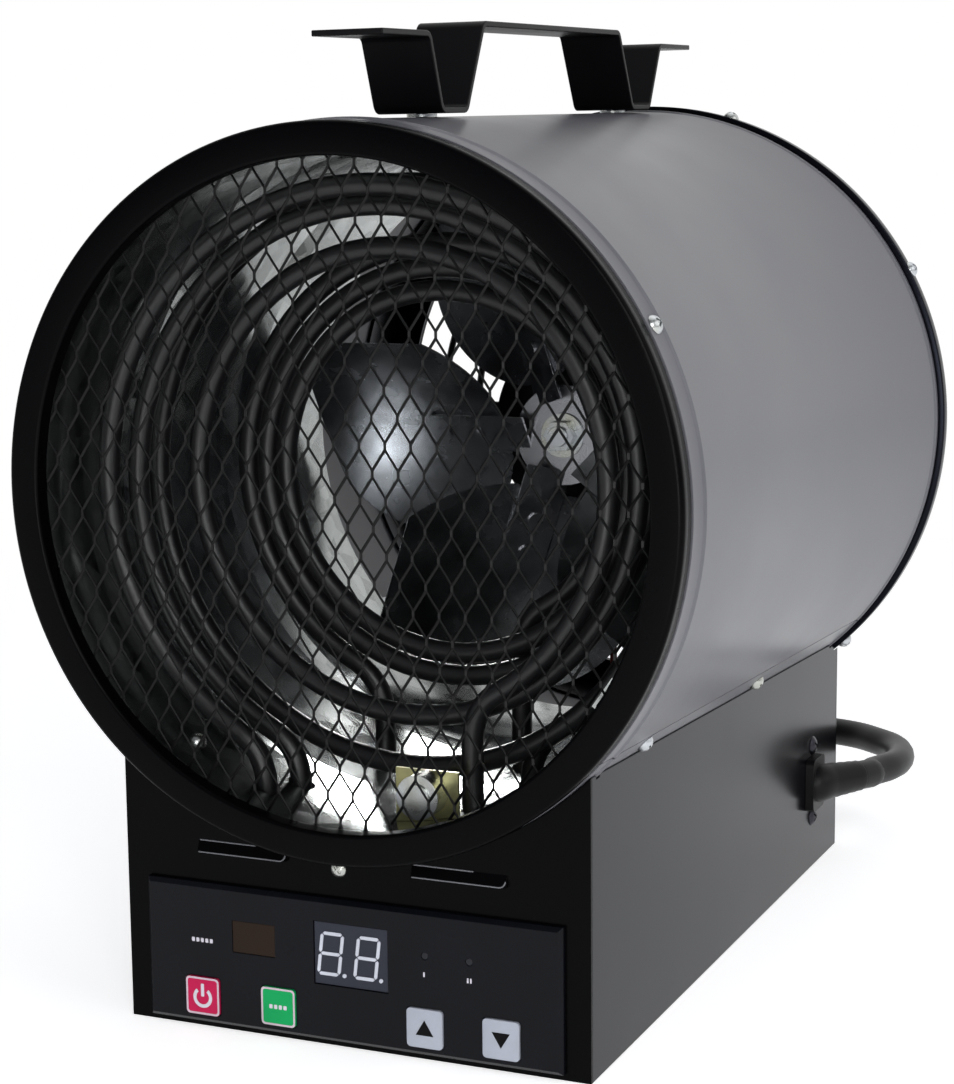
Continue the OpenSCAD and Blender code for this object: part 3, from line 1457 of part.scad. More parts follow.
// Strain relief: a block on the side of the base and a tapered sleeve that
// sends the cord to the rear, with its clamp inside
module strain_relief() {
    b = relief_block;
    color("#101114") placed() {
        translate([base_half + fit / 2, relief_y - b[1] / 2, relief_z - b[2] / 2]) cube(b);
        difference() {
            translate([base_half + b[0] - 1, relief_y, relief_z])
                rotate([0, 90, relief_a])
                    cylinder(r1 = relief_r0, r2 = relief_r1, h = relief_l, $fn = 48);
            translate([base_half + fit / 2 - far, relief_y - far / 2, relief_z - far / 2])
                cube(far);
        }
        translate([base_half - base_t - fit, relief_y, relief_z]) rotate([0, 90, 0])
            cylinder(r = relief_r0 - over - fit, h = base_t + fit + over);
        translate([base_half - base_t - fit - clamp_size[0],
            relief_y - clamp_size[1] / 2, relief_z - clamp_size[2] / 2]) cube(clamp_size);
    }
}
module relief_screws() {
    color("#26262c") placed() relief_screw_places() translate([0, 0, fit / 2])
        screw(relief_head_r, relief_head_h, drum_shank_r, 3 * base_t);
}

// Cord from the relief to the coil, then the coil in two layers
relief_dir = [cos(relief_a), sin(relief_a), 0];
coil_start = [coil_at[0], coil_at[1] - coil_r, coil_z0];
cord_points = concat(
    [relief_tip, relief_tip + cord_r * relief_dir],
    cord_mid_points,
    [coil_start + [coil_lead + cord_r, 0, 0], coil_start + [coil_lead, 0, 0]]
);
function cord_curve(p) = concat([p[0]], [for (i = [1:len(p) - 3], k = [0:1])
    spline_at(p[i - 1], p[i], p[i + 1], p[i + 2], k / 2)], [p[len(p) - 2], p[len(p) - 1]]);
cord_path = cord_curve(cord_points);
function coil_radius(t) =
    coil_r - coil_step * (t < coil_reverse[0] ? t
        : t < coil_reverse[1] ? coil_reverse[0]
        : coil_reverse[0] + coil_reverse[1] - t);
function coil_height(t) = lerp(coil_z0, coil_z1,
    ease(min(1, max(0, (t - coil_reverse[0]) / (coil_reverse[1] - coil_reverse[0])))));
function coil_point(t) =
    [coil_at[0] - coil_radius(t) * sin(360 * t),
        coil_at[1] - coil_radius(t) * cos(360 * t), coil_height(t)];
coil_end = coil_point(coil_turns);
coil_tail = coil_lead + cord_d;
plug_at = [coil_end[0] + coil_tail, coil_end[1], plug_r + fit / 2];
coil_path = concat(
    [coil_start + [coil_lead, 0, 0]],
    [for (i = [0:ring_steps * coil_turns]) coil_point(i / ring_steps)],
    [lerp(coil_end, plug_at, coil_lead / coil_tail), plug_at]
);
module cord() {
    color("#16171a") placed() tube(cord_path, cord_r, 10, [0, 0, 1]);
}
module cord_coil() {
    echo(cord_coil_gap = least_gap(coil_path, cord_r, 6));
    color("#16171a") placed() tube(coil_path, cord_r, 6, [0, 0, 1]);
}
module plug_frame() {
    translate(plug_at + [slip, 0, 0]) rotate([0, 90, 0]) children();
}
module plug_body() {
    color("#15161a") placed() plug_frame() {
        cylinder(r1 = cord_r + fit, r2 = plug_taper_r, h = plug_taper_l);
        translate([0, 0, plug_taper_l]) {
            cylinder(r1 = plug_taper_r, r2 = plug_r, h = plug_len / 4);
            translate([0, 0, plug_len / 4]) cylinder(r = plug_r, h = plug_len * 3 / 4);
        }
    }
}
module plug_blades() {
    s = blade_size;
    color("#c9b06a") placed() plug_frame() translate([0, 0, plug_taper_l + plug_len + fit / 2]) {
        for (k = [-1, 1]) translate([-s[1] / 2 - 3, k * blade_apart / 2 - s[0] / 2, 0]) cube(s);
        translate([blade_apart / 2, 0, 0]) cylinder(r = pin_r, h = pin_l, $fn = 32);
    }
}

drum_casing();
drum_cradle();
seam_strips();
front_ring();
front_grille();
rear_ring();
rear_guard();
inner_liner();
element_outer();
element_middle();
element_inner();
element_supports();
element_bushings();
terminal_insulators();
terminal_studs();
terminal_plate();
thermostat_bracket();
limit_thermostat();
fan_blades();
fan_spider();
blade_rivets();
fan_nut();
motor_rotor();
motor_front_housing();
motor_rear_housing();
stator_core();
stator_windings();
motor_bearings();
motor_bracket();
motor_screws();
strap_bracket();
strap_flanges();
strap_screws();
base_body();
base_front();
base_rear();
control_bezel();
display_module();
display_segments();
infrared_window();
panel_lamps();
control_board();
tact_switches();
power_button();
mode_button();
up_button();
down_button();
power_board();
relays();
transformer();
terminal_block();
wiring();
drum_screws();
panel_screws();
strain_relief();
relief_screws();
cord();
cord_coil();
plug_body();
plug_blades();
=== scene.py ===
import math
import bmesh
import bpy
from mathutils import Matrix, Vector


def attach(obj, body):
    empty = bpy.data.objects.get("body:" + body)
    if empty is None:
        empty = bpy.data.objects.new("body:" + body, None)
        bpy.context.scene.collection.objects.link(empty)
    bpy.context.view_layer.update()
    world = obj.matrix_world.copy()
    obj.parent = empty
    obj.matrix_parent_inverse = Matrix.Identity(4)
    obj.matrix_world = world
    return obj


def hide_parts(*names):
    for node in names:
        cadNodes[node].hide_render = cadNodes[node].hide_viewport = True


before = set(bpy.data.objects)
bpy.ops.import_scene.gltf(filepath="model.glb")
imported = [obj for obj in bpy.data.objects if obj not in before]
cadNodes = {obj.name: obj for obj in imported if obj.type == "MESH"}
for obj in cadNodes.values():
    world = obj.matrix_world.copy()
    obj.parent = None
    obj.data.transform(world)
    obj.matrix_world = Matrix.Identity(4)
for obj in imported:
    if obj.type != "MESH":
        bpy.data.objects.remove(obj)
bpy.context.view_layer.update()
print("frame loaded")

# the drum's real sizes in millimetres, measured from the front ring's face
drum = {"frontRadius": 120.0, "rearRadius": 128.6, "length": 310.0, "axisHeight": 186.0,
        "sheet": 1.2, "rearRim": 130.8, "rimDepth": 6.5, "seamAngle": 131.0}
flare = math.atan((drum["rearRadius"] - drum["frontRadius"]) / drum["length"])
strapReach = {"length": 325, "rise": 26}   # what reaches farthest back, besides the cord
middleY = (strapReach["length"] * math.cos(flare) - strapReach["rise"] * math.sin(flare)) / 2


def at(x, y, z):   # millimetres from the front ring's face, to metres from the part's middle
    return Vector((x, y - middleY, z)) / 1000


def drumRadius(y):
    return drum["frontRadius"] + (drum["rearRadius"] - drum["frontRadius"]) * y / drum["length"]


def onDrum(angle, radius, y):   # angle from the drum's top towards +X, in degrees
    a = math.radians(angle)
    return at(radius * math.sin(a), y, drum["axisHeight"] + radius * math.cos(a))


# camera, solved from the photograph
photo = {"height": 1084, "focal": 2345.72, "yaw": -23.7029, "pitch": -8.8499, "roll": -0.5781,
         "x": 341.407, "y": -657.737, "z": 287.908, "sensor": 36}


def makeCamera():
    yaw, pitch, roll = (math.radians(photo[k]) for k in ("yaw", "pitch", "roll"))
    forward = Vector((math.sin(yaw) * math.cos(pitch), math.cos(yaw) * math.cos(pitch),
                      math.sin(pitch)))
    right = Vector((math.cos(yaw), -math.sin(yaw), 0))
    up = right.cross(forward)
    rolledRight = math.cos(roll) * right + math.sin(roll) * up
    rolledUp = math.cos(roll) * up - math.sin(roll) * right
    data = bpy.data.cameras.new("camera")
    data.sensor_width = photo["sensor"]
    data.lens = photo["focal"] / photo["height"] * data.sensor_width
    data.clip_start = 0.01
    camera = bpy.data.objects.new("camera", data)
    bpy.context.scene.collection.objects.link(camera)
    turn = Matrix((rolledRight, rolledUp, -forward)).transposed().to_4x4()
    camera.matrix_world = Matrix.Translation(at(photo["x"], photo["y"], photo["z"])) @ turn
    bpy.context.scene.camera = camera


makeCamera()
print("camera placed")


# colours and nodes
def toLinear(code):
    channels = [int(code[i:i + 2], 16) / 255 for i in (1, 3, 5)]
    linear = [c / 12.92 if c <= 0.04045 else ((c + 0.055) / 1.055) ** 2.4 for c in channels]
    return tuple(linear) + (1,)


def addNode(tree, kind, settings=None, values=None, links=None):
    node = tree.nodes.new(kind)
    for key, value in (settings or {}).items():
        setattr(node, key, value)
    for key, value in (values or {}).items():
        node.inputs[key].default_value = value
    for key, source in (links or {}).items():
        tree.links.new(source, node.inputs[key])
    return node


def perMillimetre(size):   # a texture's scale for features of this size, as objects are in metres
    return 1000 / size


def shade(colour, factor):
    return tuple(min(1, c * factor) for c in colour[:3]) + (1,)


def blankMaterial(name):
    material = bpy.data.materials.new(name)
    material.use_nodes = True
    material.node_tree.nodes.clear()
    return material, material.node_tree


def closeMaterial(tree, shader):
    addNode(tree, "ShaderNodeOutputMaterial", links={"Surface": shader.outputs[0]})


# Soft patches of two tones; gives the pattern as well, so that the polish follows it
def cloudedTone(tree, place, size, detail, low, high, lowAt=0.35, highAt=0.65):
    cloud = addNode(tree, "ShaderNodeTexNoise", links={"Vector": place},
                    values={"Scale": perMillimetre(size), "Detail": detail})
    ramp = addNode(tree, "ShaderNodeValToRGB", links={"Fac": cloud.outputs["Fac"]})
    for element, where, tone in zip(ramp.color_ramp.elements, (lowAt, highAt), (low, high)):
        element.position, element.color = where, tone
    return cloud.outputs["Fac"], ramp.outputs["Color"]


# Fine relief on a surface whose edges look rounded
def grainedSurface(tree, place, size, detail, strength, depth, edge):
    grain = addNode(tree, "ShaderNodeTexNoise", links={"Vector": place},
                    values={"Scale": perMillimetre(size), "Detail": detail})
    rounded = addNode(tree, "ShaderNodeBevel", settings={"samples": 3}, values={"Radius": edge})
    bump = addNode(tree, "ShaderNodeBump", values={"Strength": strength, "Distance": depth},
                   links={"Height": grain.outputs["Fac"], "Normal": rounded.outputs["Normal"]})
    return bump.outputs["Normal"]


def finishMaterial(tree, values, pattern, low, high, colour, normal, span=(0.3, 0.7)):
    shine = addNode(tree, "ShaderNodeMapRange", links={"Value": pattern},
                    values={"From Min": span[0], "From Max": span[1],
                            "To Min": low, "To Max": high})
    shader = addNode(tree, "ShaderNodeBsdfPrincipled", values=values,
                     links={"Base Color": colour, "Roughness": shine.outputs["Result"],
                            "Normal": normal})
    closeMaterial(tree, shader)


# Sprayed and baked enamel on sheet steel: an even film with a slight orange peel, which
# ripples its reflections, and edges that catch the light
def bakedEnamel(name, colour, roughness, peelSize=1.6, peelDepth=0.00001, mottle=0.06,
                specular=0.5, edge=0.0004, paintedReflectionTint="#ffffff"):
    material, tree = blankMaterial(name)
    place = addNode(tree, "ShaderNodeTexCoord").outputs["Object"]
    base = toLinear(colour)
    cloud, tone = cloudedTone(tree, place, 70, 4, shade(base, 1 - mottle), shade(base, 1 + mottle))
    normal = grainedSurface(tree, place, peelSize, 2, 0.6, peelDepth, edge)
    # the tint on the reflections paints in the colour of the light they show
    finishMaterial(tree, {"Specular IOR Level": specular, "Specular Tint": toLinear(paintedReflectionTint)},
                   cloud, roughness * 0.88, roughness * 1.14, tone, normal)
    return material


# Bare or plated metal: rolling lines along one axis (drawn coarser than the real ones, which
# are too fine to show), which smear its reflections, and patches of different polish
def bareMetal(name, colour, roughness, grain=(1, 1, 1), grainSize=0.6, grainDepth=0.000004,
              patches=0.25, patchSize=14, edge=0.0003, tint=None):
    material, tree = blankMaterial(name)
    place = addNode(tree, "ShaderNodeTexCoord").outputs["Object"]
    drawn = addNode(tree, "ShaderNodeMapping", values={"Scale": grain}, links={"Vector": place})
    base = toLinear(colour)
    other = toLinear(tint) if tint else shade(base, 0.82)
    cloud, tone = cloudedTone(tree, place, patchSize, 3, other, base, 0.35, 0.62)
    normal = grainedSurface(tree, drawn.outputs["Vector"], grainSize, 3, 0.7, grainDepth, edge)
    finishMaterial(tree, {"Metallic": 1.0}, cloud, roughness * (1 - patches),
                   roughness * (1 + patches), tone, normal)
    return material


# Hot-dip coated sheet: crystals (spangle) of differing grey and polish break up what it
# mirrors, and slow waves in the sheet bend it
def spangledSheet(name, colour, roughness, spangle=7, waveSize=40, waveDepth=0.00004):
    material, tree = blankMaterial(name)
    place = addNode(tree, "ShaderNodeTexCoord").outputs["Object"]
    crystals = addNode(tree, "ShaderNodeTexVoronoi", values={"Scale": perMillimetre(spangle)},
                       links={"Vector": place})
    grey = addNode(tree, "ShaderNodeSeparateColor", links={"Color": crystals.outputs["Color"]})
    base = toLinear(colour)
    ramp = addNode(tree, "ShaderNodeValToRGB", links={"Fac": grey.outputs["Red"]})
    ramp.color_ramp.elements[0].color = shade(base, 0.75)
    ramp.color_ramp.elements[1].color = base
    wave = addNode(tree, "ShaderNodeTexNoise", links={"Vector": place},
                   values={"Scale": perMillimetre(waveSize), "Detail": 4})
    bump = addNode(tree, "ShaderNodeBump", values={"Strength": 0.5, "Distance": waveDepth},
                   links={"Height": wave.outputs["Fac"]})
    finishMaterial(tree, {"Metallic": 1.0}, grey.outputs["Green"], roughness * 0.7,
                   roughness * 1.3, ramp.outputs["Color"], bump.outputs["Normal"], (0, 1))
    return material


# Moulded plastic, rubber and ceramic, and scale on steel: a fine grain (drawn coarser than the
# real one, which is too fine to show) spreads highlights, and the tone is a little uneven
def moulded(name, colour, roughness, grainSize=0.5, grainDepth=0.00001, mottle=0.08, specular=0.5,
            edge=0.0004):
    material, tree = blankMaterial(name)
    place = addNode(tree, "ShaderNodeTexCoord").outputs["Object"]
    base = toLinear(colour)
    cloud, tone = cloudedTone(tree, place, 18, 4, shade(base, 1 - mottle), shade(base, 1 + mottle))
    normal = grainedSurface(tree, place, grainSize, 2, 0.6, grainDepth, edge)
    finishMaterial(tree, {"Specular IOR Level": specular}, cloud, roughness * 0.9,
                   roughness * 1.12, tone, normal)
    return material


# each finish: its maker, colour and roughness, its other values, and the solids that have it
finishes = {
    # drum: satin grey stove enamel, whose highlights are broad and soft
    "greyEnamel": (bakedEnamel, "#616167", 0.34,
                   {"peelSize": 2.2, "peelDepth": 0.000012, "specular": 0.36},
                   "drum_casing drum_cradle"),
    # base and rear ring: glossy black enamel, dark until it is seen at a slant; its reflections get
    # a painted blue tint
    "blackEnamel": (bakedEnamel, "#08080b", 0.2, {"specular": 0.12, "paintedReflectionTint": "#d6ddff"},
                    "rear_ring base_body base_rear"),
    # front sheet and ring: the same enamel in a heat-proof grade that hardly shines
    "satinBlack": (bakedEnamel, "#030304", 0.26, {"specular": 0.05}, "front_ring base_front"),
    # pressed lips of the louvres: pale enamel lines that are a painted highlight, standing in for
    # the light the lips and creases catch
    "paintedHighlightEnamel": (bakedEnamel, "#6d6e73", 0.35, {}, ""),
    # strap and motor: powder coat with a fine, dull grain
    "blackPowderCoat": (bakedEnamel, "#050507", 0.4, {"peelSize": 0.8, "specular": 0.16},
                        "strap_bracket strap_flanges motor_bracket motor_front_housing "
                        "motor_rear_housing"),
    # grille and guard: thick dipped black that leaves only thin glints on the strands
    "blackDippedMesh": (bakedEnamel, "#050506", 0.4,
                        {"peelSize": 0.9, "specular": 0.22, "edge": 0.0001},
                        "front_grille rear_guard"),
    # liner: bright aluminised sheet that mirrors its surroundings in broken patches
    "aluminisedSheet": (spangledSheet, "#b4b8b6", 0.2, {}, "inner_liner element_supports"),
    # joint strips: galvanised sheet, flatter and greyer
    "galvanisedSheet": (spangledSheet, "#a9adae", 0.3, {"spangle": 5},
                        "seam_strips terminal_plate"),
    # heating tubes: steel sheath, oxidised nearly black in use, with soft highlights
    "oxidisedSheath": (moulded, "#111113", 0.38, {"grainSize": 0.9, "mottle": 0.2, "specular": 0.5},
                       "element_outer element_middle element_inner"),
    # fan: pressed aluminium, mid grey with one bright streak where it is bent
    "polishedAluminium": (bareMetal, "#a2a3a7", 0.24, {"grain": (0.12, 1, 1), "patches": 0.3},
                          "fan_blades fan_spider blade_rivets"),
    # screws and small turned parts: clear zinc with small sharp glints
    "zincPlate": (bareMetal, "#c4c8cc", 0.26, {"tint": "#b3b4a8"},
                  "limit_thermostat terminal_studs drum_screws panel_screws strap_screws "
                  "motor_screws fan_nut motor_bearings motor_rotor"),
    # thermostat bracket: zinc passivated to a pale greenish yellow
    "yellowZinc": (bareMetal, "#b9b582", 0.34, {"tint": "#8d8b68"}, "thermostat_bracket"),
    # bushings and blades: turned and stamped brass, warm and bright
    "brass": (bareMetal, "#c9a550", 0.28, {}, "element_bushings plug_blades"),
    # windings: varnished copper wire, warm, with glints along the strands
    "copperWire": (bareMetal, "#b4693c", 0.35, {"grain": (1, 0.1, 1)}, "stator_windings"),
    # relief screws: blackened steel with a faint shine
    "blackenedSteel": (bareMetal, "#3c3c42", 0.34, {}, "relief_screws"),
    # stator: stacked silicon steel, with fine lines round its rim
    "siliconSteel": (bareMetal, "#7d8084", 0.4, {"grain": (0.05, 1, 0.05)}, "stator_core"),
    # insulators: fired alumina, chalky and cream
    "alumina": (moulded, "#e6e0cf", 0.5, {}, "terminal_insulators"),
    # panel: black ABS with a fine grain, a little bluer than the enamel
    "panelAbs": (moulded, "#0c0d12", 0.26, {"grainSize": 0.35, "specular": 0.12}, "control_bezel"),
    # display: smoked filter over a grey module, an even bluish dark grey
    "displayWindow": (moulded, "#31333d", 0.24, {"mottle": 0.03, "specular": 0.12},
                      "display_module"),
    # digits: pale diffusers of the light bars, their pale colour a painted glow of lit segments, as
    # they give off no light
    "paintedDigitGlow": (moulded, "#c9cdd9", 0.4, {}, "display_segments"),
    # infrared window: dark brown filter plastic, smooth
    "smokedWindow": (moulded, "#24180f", 0.16, {"specular": 0.12}, "infrared_window"),
    # small lamps: dark lenses, just seen against the panel
    "lampLens": (moulded, "#202126", 0.2, {"specular": 0.2}, "panel_lamps"),
    # push buttons: matt ABS, coloured through, with broad and weak highlights; pale rims
    "redAbs": (moulded, "#b81a4b", 0.4, {"specular": 0.12}, "power_button"),
    "greenAbs": (moulded, "#0a9a55", 0.4, {"specular": 0.15}, "mode_button"),
    "greyAbs": (moulded, "#a7acb8", 0.42, {"specular": 0.2}, "up_button down_button"),
    "paleAbs": (moulded, "#c9b6c2", 0.4, {}, ""),
    # printed marks: flat black and pale pad-printing ink, which hardly shines
    "inkBlack": (moulded, "#060608", 0.5, {"specular": 0.1}, ""),
    "paleInk": (moulded, "#cfcbd6", 0.5, {}, ""),
    # inside the base: boards lacquered green, which shine a little
    "circuitBoard": (moulded, "#1d6b3d", 0.4, {"grainSize": 0.8}, "control_board power_board"),
    # dull nylon, dark or cream, a blue relay case, rolled steel, and red vinyl leads that show
    # through the rear guard
    "switchNylon": (moulded, "#2a2b30", 0.5, {}, "tact_switches"),
    "relayCase": (moulded, "#274f9c", 0.4, {}, "relays"),
    "transformerSteel": (bareMetal, "#6f7276", 0.45, {"grain": (0.05, 1, 1)}, "transformer"),
    "blockNylon": (moulded, "#ece8dc", 0.45, {}, "terminal_block"),
    "leadInsulation": (moulded, "#7c1e1c", 0.42, {}, "wiring"),
    # strain relief and plug: black nylon and vinyl, matt with soft highlights
    "mouldedNylon": (moulded, "#08080a", 0.42, {"specular": 0.2}, "strain_relief plug_body"),
    # cord: extruded rubber, whose highlight is long and dull
    "cordRubber": (moulded, "#09090b", 0.42, {"grainSize": 0.7, "specular": 0.35},
                   "cord cord_coil"),
}
materials = {}
for finish, (maker, colour, roughness, options, nodeNames) in finishes.items():
    materials[finish] = maker(finish, colour, roughness, **options)
    for nodeName in nodeNames.split():
        node = cadNodes[nodeName]
        node.data.materials.clear()
        node.data.materials.append(materials[finish])
print("materials made")


# making pieces
def addPiece(name, data, finish, body="heater", replaces=()):
    piece = bpy.data.objects.new(name, data)
    bpy.context.scene.collection.objects.link(piece)
    data.materials.append(materials[finish])
    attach(piece, body)
    if replaces:
        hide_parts(*replaces)
    return piece


def softenEdges(piece, width, segments, angle):
    soft = piece.modifiers.new("softEdges", "BEVEL")
    soft.width, soft.segments, soft.angle_limit = width / 1000, segments, math.radians(angle)
    return soft


def addMesh(name, points, faces, finish, body="heater", replaces=(), smooth=40, bevel=0):
    mesh = bpy.data.meshes.new(name)
    mesh.from_pydata([tuple(p) for p in points], [], faces)
    mesh.update()
    shell = bmesh.new()
    shell.from_mesh(mesh)
    bmesh.ops.remove_doubles(shell, verts=shell.verts, dist=1e-7)
    bmesh.ops.recalc_face_normals(shell, faces=shell.faces)
    shell.to_mesh(mesh)
    shell.free()
    mesh.shade_smooth()
    mesh.set_sharp_from_angle(angle=math.radians(smooth))
    piece = addPiece(name, mesh, finish, body, replaces)
    if bevel:
        softenEdges(piece, bevel, 3, 35).harden_normals = True
    return piece


def addTube(name, path, radius, finish, body="heater", replaces=(), sides=4):
    curve = bpy.data.curves.new(name, "CURVE")
    curve.dimensions = "3D"
    curve.bevel_depth = radius / 1000
    curve.bevel_resolution = sides
    curve.use_fill_caps = True
    spline = curve.splines.new("POLY")
    spline.points.add(len(path) - 1)
    for point, place in zip(spline.points, path):
        point.co = (*place, 1)
    spline.use_smooth = True
    return addPiece(name, curve, finish, body, replaces)


def evaluatedMesh(maker):   # the object's mesh with its modifiers or curve worked out
    bpy.context.view_layer.update()
    depsgraph = bpy.context.evaluated_depsgraph_get()
    return bpy.data.meshes.new_from_object(maker.evaluated_get(depsgraph))


def arc(centre, radius, start, end, steps):
    return [(centre[0] + radius * math.cos(math.radians(start + (end - start) * i / steps)),
             centre[1] + radius * math.sin(math.radians(start + (end - start) * i / steps)))
            for i in range(steps + 1)]


def roundedBox(x, z, width, height, corner, steps=6):
    outline = []
    for turn, sx, sz in ((0, 1, 1), (90, -1, 1), (180, -1, -1), (270, 1, -1)):
        outline += arc((x + sx * (width / 2 - corner), z + sz * (height / 2 - corner)),
                       corner, turn, turn + 90, steps)
    return outline


def revolved(profile, start=0, end=360, steps=240):   # profile of (radius, y), closed
    whole = abs(end - start) >= 360
    rings = steps if whole else steps + 1
    points, faces, n = [], [], len(profile)
    for i in range(rings):
        angle = start + (end - start) * i / steps
        points += [onDrum(angle, r, y) for r, y in profile]
    for i in range(steps):
        a, b = i * n, ((i + 1) % rings) * n
        faces += [(a + k, a + (k + 1) % n, b + (k + 1) % n, b + k) for k in range(n)]
    if not whole:
        faces += [tuple(range(n)), tuple(reversed(range(len(points) - n, len(points))))]
    return points, faces


def ease(t):   # gently from 0 to 1
    return t * t * (3 - 2 * t)


def even(t):   # straight from 0 to 1
    return t


# cord, wound behind the heater as it would be for storage
cord = {"diameter": 12.0, "coilX": -98.0, "coilY": 432.0, "coilRadius": 80.0, "coilStep": 15.0,
        "turns": 3.5, "reverse": (1.5, 2.0), "lead": 12.0, "plugRadius": 18.0, "layerGap": 0.9,
        "floorGap": 0.05, "sleeveGap": 0.1, "coilSteps": 72,
        "route": [(105, 296, 37), (109.5, 307, 37), (110.8, 318, 37), (108.6, 330, 37),
                  (103, 341, 37), (93, 350, 37), (83, 357, 37), (71, 361, 37), (58, 362, 37),
                  (40, 361, 35), (18, 359, 31), (-6, 357, 24), (-30, 354, 16), (-52, 352, 10),
                  (-70, 352, 7)]}
relief = {"y": 269.0, "z": 37.0, "angle": 55.0, "length": 22.0, "blockDepth": 4.0, "sunk": 1,
          "wallX": 85.5}


def reliefLine():   # where the boot starts on the wall, and which way it points
    a = math.radians(relief["angle"])
    start = Vector((relief["wallX"] + relief["blockDepth"] - relief["sunk"], relief["y"],
                    relief["z"]))
    return start, Vector((math.cos(a), math.sin(a), 0))


def coilPoint(t):
    radius = cord["diameter"] / 2
    low = radius + cord["floorGap"]
    high = low + cord["diameter"] + cord["layerGap"]
    first, second = cord["reverse"]
    inward = t if t < first else first if t < second else first + second - t
    r = cord["coilRadius"] - cord["coilStep"] * inward
    climb = ease(min(1, max(0, (t - first) / (second - first))))
    a = math.radians(360 * t)
    return Vector((cord["coilX"] - r * math.sin(a), cord["coilY"] - r * math.cos(a),
                   low + (high - low) * climb))


def splineThrough(points, steps):   # smooth curve through the given points
    points = [Vector(p) for p in points]
    out = [points[0]]
    for i in range(1, len(points) - 2):
        a, b, c, d = points[i - 1:i + 3]
        for k in range(steps):
            t = k / steps
            out.append(0.5 * (2 * b + (c - a) * t + (2 * a - 5 * b + 4 * c - d) * t * t
                              + (3 * b - a - 3 * c + d) * t ** 3))
    return out + points[-2:]


def makeCord():
    radius = cord["diameter"] / 2
    root, away = reliefLine()
    tip = root + (relief["length"] + cord["sleeveGap"]) * away
    start = coilPoint(0)
    lead = Vector((cord["lead"], 0, 0))
    free = splineThrough([tip, tip + radius * away] + cord["route"]
                         + [start + lead + Vector((radius, 0, 0)), start + lead], 6)
    steps = cord["coilSteps"]
    coil = [coilPoint(i / steps) for i in range(int(steps * cord["turns"]) + 1)]
    end = coil[-1]
    plug = Vector((end.x + cord["lead"] + cord["diameter"], end.y,
                   cord["plugRadius"] + cord["floorGap"]))
    path = [at(*p) for p in free + coil + [end.lerp(plug, 0.5), plug]]
    piece = addTube("cordFlex", path, radius, "cordRubber",
                    replaces=("cord", "cord_coil"), sides=6)


makeCord()

# drum casing, rolled sheet with a stiffening bead near each end
casing = {"start": 8.5, "end": 302.5, "beadHeight": 0.75, "beadWidth": 3.0, "beads": (18.5, 297.5)}


def makeCasing():
    start, end = casing["start"], casing["end"]
    outline = [(drumRadius(start) - drum["sheet"], start), (drumRadius(start), start)]
    for bead in casing["beads"]:
        for i in range(9):
            share = i / 8 - 0.5
            y = bead + share * casing["beadWidth"]
            swell = 0.5 + 0.5 * math.cos(2 * math.pi * share)
            outline.append((drumRadius(y) + casing["beadHeight"] * swell, y))
    outline += [(drumRadius(end), end), (drumRadius(end) - drum["sheet"], end)]
    points, faces = revolved(outline, -drum["seamAngle"], drum["seamAngle"], 200)
    addMesh("drumCasing", points, faces, "greyEnamel", replaces=["drum_casing"],
            smooth=50)


# front ring, spun over the casing's end, with a skirt inside it
ring = {"openRadius": 109.0, "round": 1.8, "innerRound": 1.2, "depth": 7.5, "skirtRadius": 118.88,
        "skirtEnd": 22.0, "sheet": 1.2, "lip": 6.0, "edge": 0.4}


def makeFrontRing():
    outer, inner, sheet = drum["frontRadius"], ring["openRadius"], ring["sheet"]
    skirt, depth, edge = ring["skirtRadius"], ring["depth"], ring["edge"]
    small = ring["innerRound"]
    outline = arc((inner + small, small), small, 180, 270, 5)
    outline += arc((outer - ring["round"], ring["round"]), ring["round"], -90, 0, 7)
    outline += [(outer, depth - edge), (outer - edge, depth), (skirt, depth),
                (skirt, ring["skirtEnd"]), (skirt - sheet, ring["skirtEnd"]),
                (skirt - sheet, sheet), (inner + sheet, sheet), (inner + sheet, ring["lip"]),
                (inner, ring["lip"])]
    points, faces = revolved(outline)
    addMesh("frontRing", points, faces, "satinBlack", replaces=["front_ring"],
            smooth=50)


# rear ring, a rim with a flange and a skirt inside the casing
rearRing = {"flangeRadius": 114.0, "round": 1.6, "rimRound": 0.5, "skirtDepth": 22.0, "sheet": 1.2,
            "fit": 0.15}


def makeRearRing():
    outer, rounding, back = drum["rearRim"], rearRing["round"], drum["length"]
    sheet, small, front = rearRing["sheet"], rearRing["rimRound"], back - drum["rimDepth"]
    skirtStart = casing["end"] - rearRing["skirtDepth"]
    skirt = drumRadius(skirtStart) - drum["sheet"] - rearRing["fit"]
    outline = [(skirt - sheet, skirtStart), (skirt, skirtStart), (skirt, front)]
    outline += arc((outer - small, front + small), small, -90, 0, 3)
    outline += arc((outer - rounding, back - rounding), rounding, 0, 90, 6)
    outline += [(rearRing["flangeRadius"], back), (rearRing["flangeRadius"], back - sheet),
                (skirt - sheet, back - sheet)]
    points, faces = revolved(outline)
    addMesh("rearRing", points, faces, "blackEnamel", replaces=["rear_ring"],
            smooth=50)


makeCasing()
makeFrontRing()
makeRearRing()
print("drum made")

# expanded metal grille: slit and stretched sheet, whose strands lean in their plane
grille = {"cellWidth": 9.1, "cellHeight": 17.8, "strandWidth": 0.85, "sheet": 0.5, "lean": 42,
          "bondLean": 10, "y": 6.6, "radius": 111.4, "bond": 2.2, "cutStep": 0.02, "shortest": 0.5}


def cutAtRim(p, q):   # the point p, moved towards q until it lies inside the rim
    t = 0.0
    while math.hypot(p[0] + (q[0] - p[0]) * t, p[1] + (q[1] - p[1]) * t) > grille["radius"]:
        t += grille["cutStep"]
    return p[0] + (q[0] - p[0]) * t, p[1] + (q[1] - p[1]) * t


